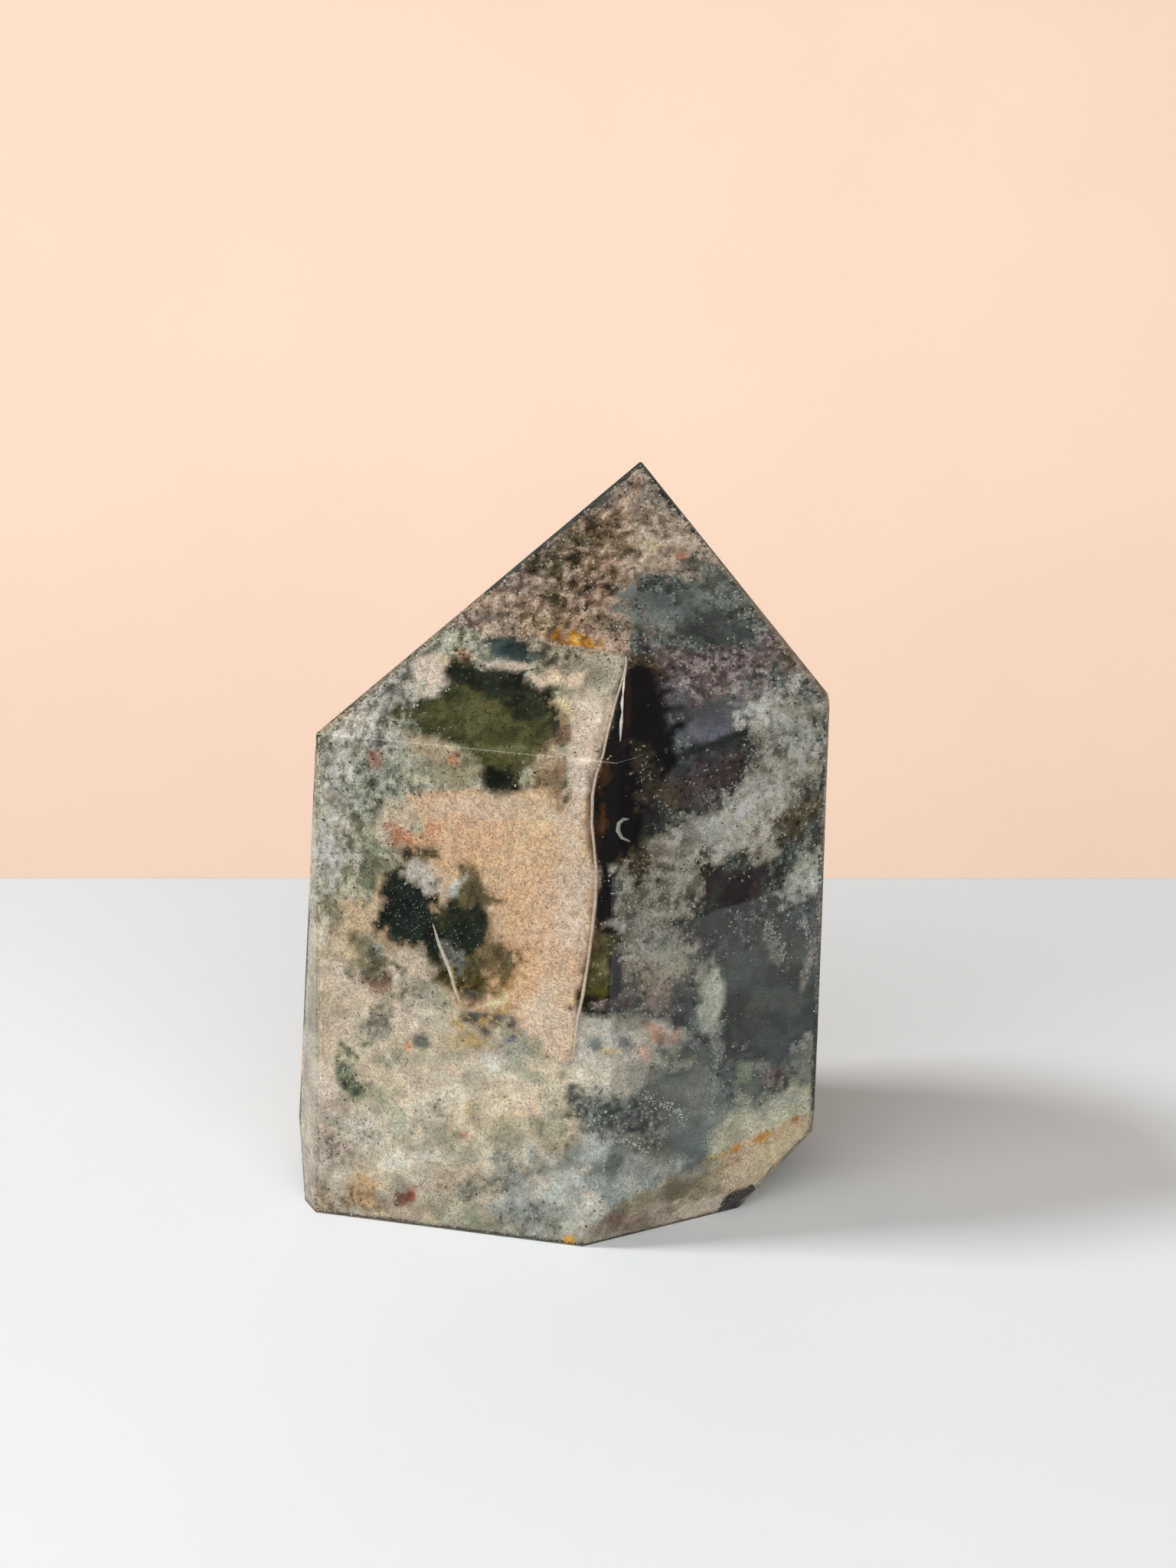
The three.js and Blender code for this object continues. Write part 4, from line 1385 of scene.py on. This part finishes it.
@dataclass
class GrainBeds:
    """All loose grains and flecks, scattered over the core and gathered kind by kind."""

    stone: Stone
    painting: Painting
    round_share: float = 0.42
    mingling: float = 3.0
    crowding: float = 1.2
    least_lift: float = 0.04
    straying: Point2 = (0.2, 2.6)
    glints_per_mm2: float = 0.7
    glint_depths: Point2 = (0.2, 0.5)
    glint_sizes: Point2 = (0.04, 0.11)
    glint_stretch: tuple[float, float, float] = (1.0, 0.8, 0.6)
    fleck_stretch: tuple[float, float, float] = (1.0, 0.7, 0.5)
    fleck_margin: float = 0.12
    above_floor: float = 0.02
    seed: int = 5

    def template(self) -> tuple[Array, Array]:
        """Models one grain, with four sides above and four below.

        Returns:
            The corners of a grain of size one, and the numbers of each triangle's corners.
        """
        half = 0.5
        faces_down = -0.9
        bpy.ops.object.select_all(action="DESELECT")
        bpy.ops.mesh.primitive_cone_add(
            vertices=4, radius1=half, radius2=0, depth=half, location=(0, 0, half / 2))
        grain = bpy.context.object
        bpy.ops.object.mode_set(mode="EDIT")
        bpy.ops.mesh.select_all(action="DESELECT")
        bpy.ops.object.mode_set(mode="OBJECT")
        for face in grain.data.polygons:
            face.select = face.normal.z < faces_down
        bpy.ops.object.mode_set(mode="EDIT")
        bpy.ops.mesh.poke(offset=half)
        bpy.ops.object.mode_set(mode="OBJECT")
        bpy.ops.object.transform_apply(location=True, rotation=True, scale=True)
        corners = np.array([v.co for v in grain.data.vertices])
        triangles = np.array([list(p.vertices) for p in grain.data.polygons])
        bpy.data.objects.remove(grain)
        return corners, triangles

    @staticmethod
    def turns(count: int, random: np.random.Generator) -> Array:
        """Makes random rotation matrices."""
        quaternion = random.normal(size=(count, 4))
        quaternion /= np.linalg.norm(quaternion, axis=1, keepdims=True)
        w, x, y, z = quaternion.T
        return np.stack([
            1 - 2 * (y * y + z * z), 2 * (x * y - z * w), 2 * (x * z + y * w),
            2 * (x * y + z * w), 1 - 2 * (x * x + z * z), 2 * (y * z - x * w),
            2 * (x * z - y * w), 2 * (y * z + x * w), 1 - 2 * (x * x + y * y),
        ], axis=1).reshape(-1, 3, 3)

    def strew(self, per_mm2: float, random: np.random.Generator) -> Array:
        """Strews places evenly over the inner block's faces.

        Args:
            per_mm2: how many places to the square millimetre.
            random: the source of chance.

        Returns:
            The places in millimetres.
        """
        block = self.stone.inset_solid("strewing_block", self.painting.INSET, self.painting.FOOT_INSET)
        block.data.calc_loop_triangles()
        corners = np.array([v.co for v in block.data.vertices]) / MM
        triangles = corners[np.array([t.vertices for t in block.data.loop_triangles])]
        bpy.data.objects.remove(block)
        sides = triangles[:, 1:] - triangles[:, :1]
        areas = np.linalg.norm(np.cross(sides[:, 0], sides[:, 1]), axis=1) / 2
        count = int(areas.sum() * per_mm2)
        which = random.choice(len(areas), count, p=areas / areas.sum())
        u, v = random.random((2, count, 1))
        fold = u + v > 1
        u, v = np.where(fold, 1 - u, u), np.where(fold, 1 - v, v)
        return triangles[which, 0] + u * sides[which, 0] + v * sides[which, 1]

    def bed(self, name: str, places: Array, tints: Array, sizes: Array,
            stretch: tuple[float, float, float], random: np.random.Generator) -> bpy.types.Object:
        """Joins many grains into one mesh.

        Args:
            name: the piece's name.
            places: the grains' middles, in millimetres.
            tints: their colours.
            sizes: their sizes in millimetres.
            stretch: how long their three sides are to their size.
            random: the source of chance.

        Returns:
            The piece.
        """
        half_height = 0.55
        corners, triangles = self.template()
        count = len(places)
        lowest = half_height * sizes + self.above_floor
        places = np.column_stack([places[:, :2], np.maximum(places[:, 2], lowest)])
        shaped = corners * np.array(stretch) * sizes[:, None, None]
        turned = np.einsum("nij,nkj->nki", self.turns(count, random), shaped) + places[:, None]
        faces = triangles[None] + (np.arange(count) * len(corners))[:, None, None]
        mesh = bpy.data.meshes.new(name)
        mesh.vertices.add(count * len(corners))
        mesh.loops.add(faces.size)
        mesh.polygons.add(count * len(triangles))
        mesh.vertices.foreach_set("co", (turned * MM).astype(np.float32).ravel())
        mesh.loops.foreach_set("vertex_index", faces.astype(np.int32).ravel())
        mesh.polygons.foreach_set("loop_start", np.arange(0, faces.size, 3, dtype=np.int32))
        mesh.update(calc_edges=True)
        set_tints(mesh, np.repeat(tints, len(corners), axis=0))
        piece = bpy.data.objects.new(name, mesh)
        bpy.context.collection.objects.link(piece)
        return piece

    @staticmethod
    def coloured(tint: Array, habit: Habit, random: np.random.Generator) -> Array:
        """Varies the grains' brightness and gives a few of them a dark or a light accent."""
        dimmest, brightest = 0.35, 1.9
        darkened = 0.35
        whitened = 0.45
        count = len(tint)
        level = np.clip(1 + habit.contrast * random.normal(size=count), dimmest, brightest)
        chance = random.random(count)
        level[chance < habit.dark_share] *= darkened
        varied = tint * level[:, None]
        light = chance > 1 - habit.light_share
        varied[light] = whitened * varied[light] + whitened * seen_colour(Tint.SNOW)
        return buried_colour(varied)

    def build(self) -> None:
        """Strews all grains and builds a bed for each kind, in front and round the back."""
        random = np.random.default_rng(self.seed)
        densest = max(habit.per_mm2 for habit in HABITS.values())
        places = self.strew(densest, random)
        drift = random.normal(size=(len(places), 2)) * random.uniform(*self.straying, (len(places), 1))
        looks = self.painting.look(places, self.mingling * drift)
        cumulative = np.cumsum(looks.kinds, axis=1)
        cumulative /= cumulative[:, -1:]
        drawn = (random.random((len(places), 1)) > cumulative).sum(axis=1)
        share = np.where(looks.fronts, 1.0, self.round_share)
        keep = random.random(len(places))
        finishes = {slot: GrainFinish(slot + "_grain", cell_depth=0.12, relief=0.1).material()
                    for slot in sorted({habit.slot for habit in HABITS.values()})}
        for kind, habit in HABITS.items():
            crowding = 1 + self.crowding * habit.clumping * (2 * looks.clump - 1)
            chosen = (drawn == kind.value) & (keep < share * crowding * habit.per_mm2 / densest)
            for side, on_side in (("front", looks.fronts), ("round", ~looks.fronts)):
                where = np.flatnonzero(chosen & on_side)
                here = looks.pick(where)
                lift = habit.lift * random.random(len(where)) ** 2 + self.least_lift
                middles = self.painting.sunk(places[where], here, lift)
                sizes = random.uniform(*habit.size, len(where))
                tints = self.coloured(here.tint, habit, random)
                name = f"{kind.name.lower()}_grains_{side}"
                piece = self.bed(name, middles, tints, sizes, habit.stretch, random)
                settle(piece, finishes[habit.slot], habit.slot)
        self.trails(random, finishes["cloudy_inclusion"])
        self.glints(random, finishes["cloudy_inclusion"])

    def glints(self, random: np.random.Generator, finish: bpy.types.Material) -> None:
        """Strews tiny white flecks in the clear skin all round: painted highlights for its sparkle."""
        left_out_where_clear = 0.85
        places = self.strew(self.glints_per_mm2, random)
        looks = self.painting.look(places)
        kept = random.random(len(places)) > left_out_where_clear * looks.kinds[:, Kind.CLEAR.value]
        places, looks = places[kept], looks.pick(kept)
        looks.depth = random.uniform(*self.glint_depths, len(places))
        middles = self.painting.sunk(places, looks)
        tints = buried_colour(np.tile(seen_colour(Tint.SNOW), (len(places), 1)))
        sizes = random.uniform(*self.glint_sizes, len(places))
        piece = self.bed("bright_glints", middles, tints, sizes, self.glint_stretch, random)
        settle(piece, finish, "cloudy_inclusion")

    def trails(self, random: np.random.Generator, finish: bpy.types.Material) -> None:
        """Builds the lines of flecks along veil edges, one of them a painted edge highlight."""
        variety, dimmest, brightest = 0.2, 0.5, 1.5
        middles, tints, sizes = [], [], []
        for trail in TRAILS:
            path = np.array(trail.path)
            lengths = np.linalg.norm(np.diff(path, axis=0), axis=1)
            along = random.random(trail.count) * lengths.sum()
            pixels = between_stations(path, np.concatenate([[0], np.cumsum(lengths)]), along)
            pixels += trail.width / 2 * random.normal(size=pixels.shape)
            depths = trail.depth * random.uniform(0.8, 1.15, trail.count)
            middles.append(self.painting.place(pixels, depths))
            level = np.clip(1 + variety * random.normal(size=(trail.count, 1)), dimmest, brightest)
            tints.append(buried_colour(seen_colour(trail.tint) * level))
            sizes.append(trail.size * random.uniform(0.6, 1.2, trail.count))
        middles, tints, sizes = (np.concatenate(parts) for parts in (middles, tints, sizes))
        inside = self.stone.holds(middles, self.fleck_margin)
        piece = self.bed("veil_flecks", middles[inside], tints[inside], sizes[inside],
                         self.fleck_stretch, random)
        settle(piece, finish, "cloudy_inclusion")


@dataclass(frozen=True)
class Strand:
    """A solid thread or rim in the quartz along a path, in pixels as seen from the front."""

    name: str
    tint: Tint
    path: tuple[Point2, ...]
    radii: tuple[float, ...]
    depth: float
    slot: str
    waver: float = 0.0


STRANDS: tuple[Strand, ...] = (
    Strand("sand_sheet_rim", Tint.ROSE_SAND, SAND_RIM,
           (0.04, 0.07, 0.08, 0.09, 0.09, 0.10, 0.12, 0.10,
            0.11, 0.10, 0.12, 0.11, 0.11, 0.12, 0.09, 0.04), 0.40, "sandy_inclusion", waver=0.25),
    Strand("white_needle", Tint.CHALK,
           ((565, 1206), (572, 1229), (580, 1249), (587, 1266), (595, 1295), (607, 1323)),
           (0.03, 0.12, 0.15, 0.15, 0.11, 0.03), 0.42, "cloudy_inclusion", waver=0.3),
    Strand("pale_crescent", Tint.CELADON,
           ((821, 1070), (814, 1070), (808, 1076), (807, 1085), (812, 1094), (823, 1099)),
           (0.05, 0.11, 0.14, 0.14, 0.11, 0.06), 0.35, "cloudy_inclusion", waver=0.2),
    # Painted highlight: a white thread just under the front ridge stands for the light glinting along
    # that edge.
    Strand("glint_blade", Tint.SNOW,
           ((815, 884), (814, 896), (813, 907), (812, 918),
            (812, 930), (811, 942), (810, 955), (809, 968)),
           (0.02, 0.06, 0.03, 0.08, 0.04, 0.09, 0.07, 0.03), 0.35, "cloudy_inclusion"),
)


@dataclass
class Threads:
    """The few solid threads: the sand sheet's rim, the needle, the crescent and the painted ridge glint.
    """

    painting: Painting
    steps: int = 6
    sway_pixels: float = 5.0
    swelling: float = 1.2
    smooth_angle: float = 40.0

    def strand(self, strand: Strand) -> bpy.types.Object:
        """Draws one thread as a round bar whose thickness follows its radii."""
        knots = np.arange(len(strand.path))
        fine = np.linspace(0, knots[-1], knots[-1] * self.steps + 1)
        pixels = between_stations(np.array(strand.path, float), knots, fine)
        line = np.stack([fine, fine * 0, fine * 0], axis=1)
        uneven = cloudy_noise(line, cell=1.3, seed=60) - 0.5
        pixels[:, 0] += self.sway_pixels * strand.waver * uneven
        radii = np.interp(fine, knots, strand.radii) * (1 + self.swelling * strand.waver * uneven)
        points = self.painting.place(pixels, np.full(len(fine), strand.depth))
        bpy.ops.object.select_all(action="DESELECT")
        bpy.ops.curve.primitive_nurbs_path_add()
        bpy.context.object.name = strand.name
        curve = bpy.context.object.data
        curve.splines.clear()
        spline = curve.splines.new("POLY")
        spline.points.add(len(points) - 1)
        for knot, place, radius in zip(spline.points, points, radii):
            knot.co = (*(place * MM), 1.0)
            knot.radius = radius
        curve.bevel_depth = MM
        curve.bevel_resolution = 3
        curve.use_fill_caps = True
        bpy.ops.object.convert(target="MESH")
        bar = bpy.context.object
        bar.data.name = strand.name
        with editing():
            close_seams()
        bpy.ops.object.shade_smooth_by_angle(angle=math.radians(self.smooth_angle))
        return bar

    def build(self) -> None:
        """Draws and dresses all threads."""
        finish = GrainFinish("thread_mineral", cell_depth=0.15, relief=0.3).material()
        for strand in STRANDS:
            bar = self.strand(strand)
            set_tints(bar.data, buried_colour(seen_colour(strand.tint)))
            settle(bar, finish, strand.slot)


@dataclass
class AirBubbles:
    """Tiny round bubbles in the clear skin over the sand, each seen as a faint ring."""

    painting: Painting
    middles: tuple[Point2, ...] = (
        (711, 982), (721, 984), (738, 994), (698, 1016), (765, 896), (667, 1067), (705, 1068),
        (723, 1090), (698, 1122), (733, 1115), (684, 1128), (632, 1166), (614, 1186), (677, 1192),
        (751, 1192), (722, 1239), (605, 871), (870, 981), (860, 1052),
    )
    radius: float = 0.16
    depth: float = 0.25
    variety: Point2 = (0.6, 1.15)
    seed: int = 3

    def build(self) -> None:
        """Blows one bubble, copies it to every place and joins the copies."""
        sizes = np.random.default_rng(self.seed).uniform(*self.variety, len(self.middles))
        depths = np.full(len(self.middles), self.depth)
        places = self.painting.place(np.array(self.middles, float), depths)
        bpy.ops.object.select_all(action="DESELECT")
        bpy.ops.mesh.primitive_ico_sphere_add(subdivisions=2, radius=1)
        first = bpy.context.object
        copies = []
        for place, size in zip(places, sizes):
            copy = first.copy()
            copy.data = first.data.copy()
            scale = Matrix.Scale(size * self.radius * MM, 4)
            copy.data.transform(Matrix.Translation(Vector(place) * MM) @ scale)
            bpy.context.collection.objects.link(copy)
            copy.select_set(True)
            copies.append(copy)
        bpy.data.objects.remove(first)
        bpy.context.view_layer.objects.active = copies[0]
        bpy.ops.object.join()
        bubbles = bpy.context.object
        bubbles.name = "air_bubbles"
        bpy.ops.object.shade_smooth()
        settle(bubbles, AirFinish().material(), "clear_quartz")


@dataclass
class DarkFlake:
    """A brown-black mineral flake that shows at the foot's sharp corner."""

    painting: Painting
    ends: tuple[Point2, Point2] = ((940, 1582), (985, 1549))
    depth: float = 0.5
    thickness: float = 0.85
    flatness: float = 0.8
    inset: float = 0.05
    foot_inset: float = 0.03
    shade: float = 0.5

    def build(self) -> None:
        """Shapes the flake from a small block whose edges are chipped."""
        start, end = self.painting.place(np.array(self.ends, float), np.full(2, self.depth))
        along = Vector(end - start)
        size = Vector((along.length, self.thickness, self.thickness * self.flatness)) * MM
        turn = along.to_track_quat("X", "Z").to_euler()
        flake = add_block("dark_flake", Vector((start + end) / 2) * MM, size, tuple(turn))
        with editing():
            bpy.ops.mesh.subdivide(number_cuts=3, fractal=0.4, seed=4)
            bpy.ops.mesh.vertices_smooth(factor=0.5)
            self.painting.stone.grind(self.inset, self.foot_inset)
            bpy.ops.mesh.select_all(action="SELECT")
            bpy.ops.mesh.normals_make_consistent(inside=False)
        set_tints(flake.data, buried_colour(seen_colour(Tint.PLUM) * self.shade))
        settle(flake, GrainFinish("flake_mineral").material(), "mossy_inclusion")


@dataclass
class ClearStone:
    """The polished quartz itself, with its hairline-softened edges."""

    stone: Stone
    edge_width: float = 0.04
    sliver: float = 0.2
    flat_degrees: float = 3.0

    def build(self) -> None:
        """Grinds the stone to its faces and softens the edges a hair."""
        tower = self.stone.inset_solid("polished_tower", 0.0)
        with editing():
            bpy.ops.mesh.remove_doubles(threshold=self.sliver * MM)
        edges = tower.modifiers.new("soft_edges", "BEVEL")
        edges.width = self.edge_width * MM
        edges.segments = 2
        edges.limit_method = "ANGLE"
        edges.angle_limit = math.radians(self.flat_degrees)
        bpy.ops.object.modifier_apply(modifier=edges.name)
        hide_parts(STONE_NODE)
        settle(tower, QuartzFinish().material(), "clear_quartz")


@dataclass(frozen=True)
class Softbox:
    """A large soft area light, in metres.

    Turn and rise say from where it shines on its aim, in degrees: turn is 0 in front, 90 to the right.
    """

    name: str
    turn: float
    rise: float
    away: float
    size: tuple[float, float]
    watts: float
    aim: tuple[float, float, float] = (0.0, 0.0, 0.025)

    def hang(self) -> None:
        """Adds the light and turns it to its aim."""
        turn, rise = math.radians(self.turn), math.radians(self.rise)
        way = Vector((math.sin(turn) * math.cos(rise), -math.cos(turn) * math.cos(rise), math.sin(rise)))
        bpy.ops.object.light_add(type="AREA", location=Vector(self.aim) + way * self.away)
        lamp = bpy.context.object
        lamp.name = self.name
        lamp.data.shape = "RECTANGLE"
        lamp.data.size, lamp.data.size_y = self.size
        lamp.data.energy = self.watts
        lamp.visible_camera = False
        lamp.rotation_euler = (-way).to_track_quat("-Z", "Y").to_euler()


@dataclass(frozen=True)
class Board:
    """A board of the stage with softened edges, from its lowest to its highest corner, in metres."""

    name: str
    finish_name: str
    tint: tuple[float, float, float]
    low: tuple[float, float, float]
    high: tuple[float, float, float]
    soft: float

    def finish(self) -> bpy.types.Material:
        """A plain matt finish with a very soft mottle."""
        mottle_scale, mottle_detail = 24.0, 4.0
        nodes = Nodes(self.finish_name)
        place = nodes.add("ShaderNodeTexCoord")
        mottle = nodes.add("ShaderNodeTexNoise", Vector=place.outputs["Object"], Scale=mottle_scale,
                           Detail=mottle_detail)
        level = nodes.add("ShaderNodeMapRange", Value=mottle.outputs["Fac"], To_Min=0.97, To_Max=1.03)
        colour = nodes.add("ShaderNodeVectorMath", {"operation": "SCALE"}, _0=self.tint,
                           Scale=level.outputs["Result"])
        matt = nodes.add("ShaderNodeBsdfPrincipled", Base_Color=colour.outputs["Vector"], Roughness=0.75)
        return nodes.finish(matt.outputs["BSDF"])

    def build(self) -> None:
        """Cuts the board to size and lays it on the stage."""
        low, high = Vector(self.low), Vector(self.high)
        board = add_block(self.name, (low + high) / 2, high - low)
        with editing():
            bpy.ops.mesh.bevel(offset=self.soft, segments=4)
        board.data.materials.append(self.finish())


@dataclass
class Studio:
    """Pale floor, plain warm backdrop and soft lights."""

    boards: tuple[Board, ...] = (
        Board("floor", "pale_floor", tint=(0.70, 0.725, 0.735),
              low=(-0.6, -0.062, -0.02), high=(0.6, 0.064, -0.00002), soft=0.002),
        Board("backdrop", "plain_backdrop", tint=(0.86, 0.63, 0.49),
              low=(-2.0, 0.60, -0.8), high=(2.0, 0.65, 1.2), soft=0.01),
    )
    lights: tuple[Softbox, ...] = (
        Softbox("key_softbox", turn=-88, rise=50, away=0.85, size=(0.19, 0.19), watts=5.0),
        Softbox("front_softbox", turn=-12, rise=26, away=0.62, size=(1.2, 0.5), watts=6.2),
        Softbox("wall_softbox", turn=0, rise=0, away=0.42, size=(1.2, 0.18), watts=1.9,
                aim=(0.0, 0.6, -0.12)),
    )
    room: tuple[float, float, float, float] = (1.0, 0.96, 0.92, 1.0)
    room_light: float = 0.13

    def build(self) -> None:
        """Sets up the stage, the lights and the plain view of colours."""
        scene = bpy.context.scene
        scene.view_settings.view_transform = "Standard"
        world = bpy.data.worlds.new("soft_room")
        world.use_nodes = True
        back = world.node_tree.nodes["Background"]
        back.inputs["Color"].default_value = self.room
        back.inputs["Strength"].default_value = self.room_light
        scene.world = world
        for board in self.boards:
            board.build()
        for light in self.lights:
            light.hang()


def main() -> None:
    """Builds the stone, what is inside it and the studio, and notes the sizes."""
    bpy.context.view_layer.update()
    view = FrontView()
    stone = Stone(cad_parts[STONE_NODE])
    LOG.info("flat faces read: %d", len(stone.facets))
    painting = Painting(stone, view)
    GardenCore(stone, painting).build()
    GrainBeds(stone, painting).build()
    Threads(painting).build()
    AirBubbles(painting).build()
    DarkFlake(painting).build()
    ClearStone(stone).build()
    Studio().build()
    view.make_camera()


if __name__ == "__main__":
    main()
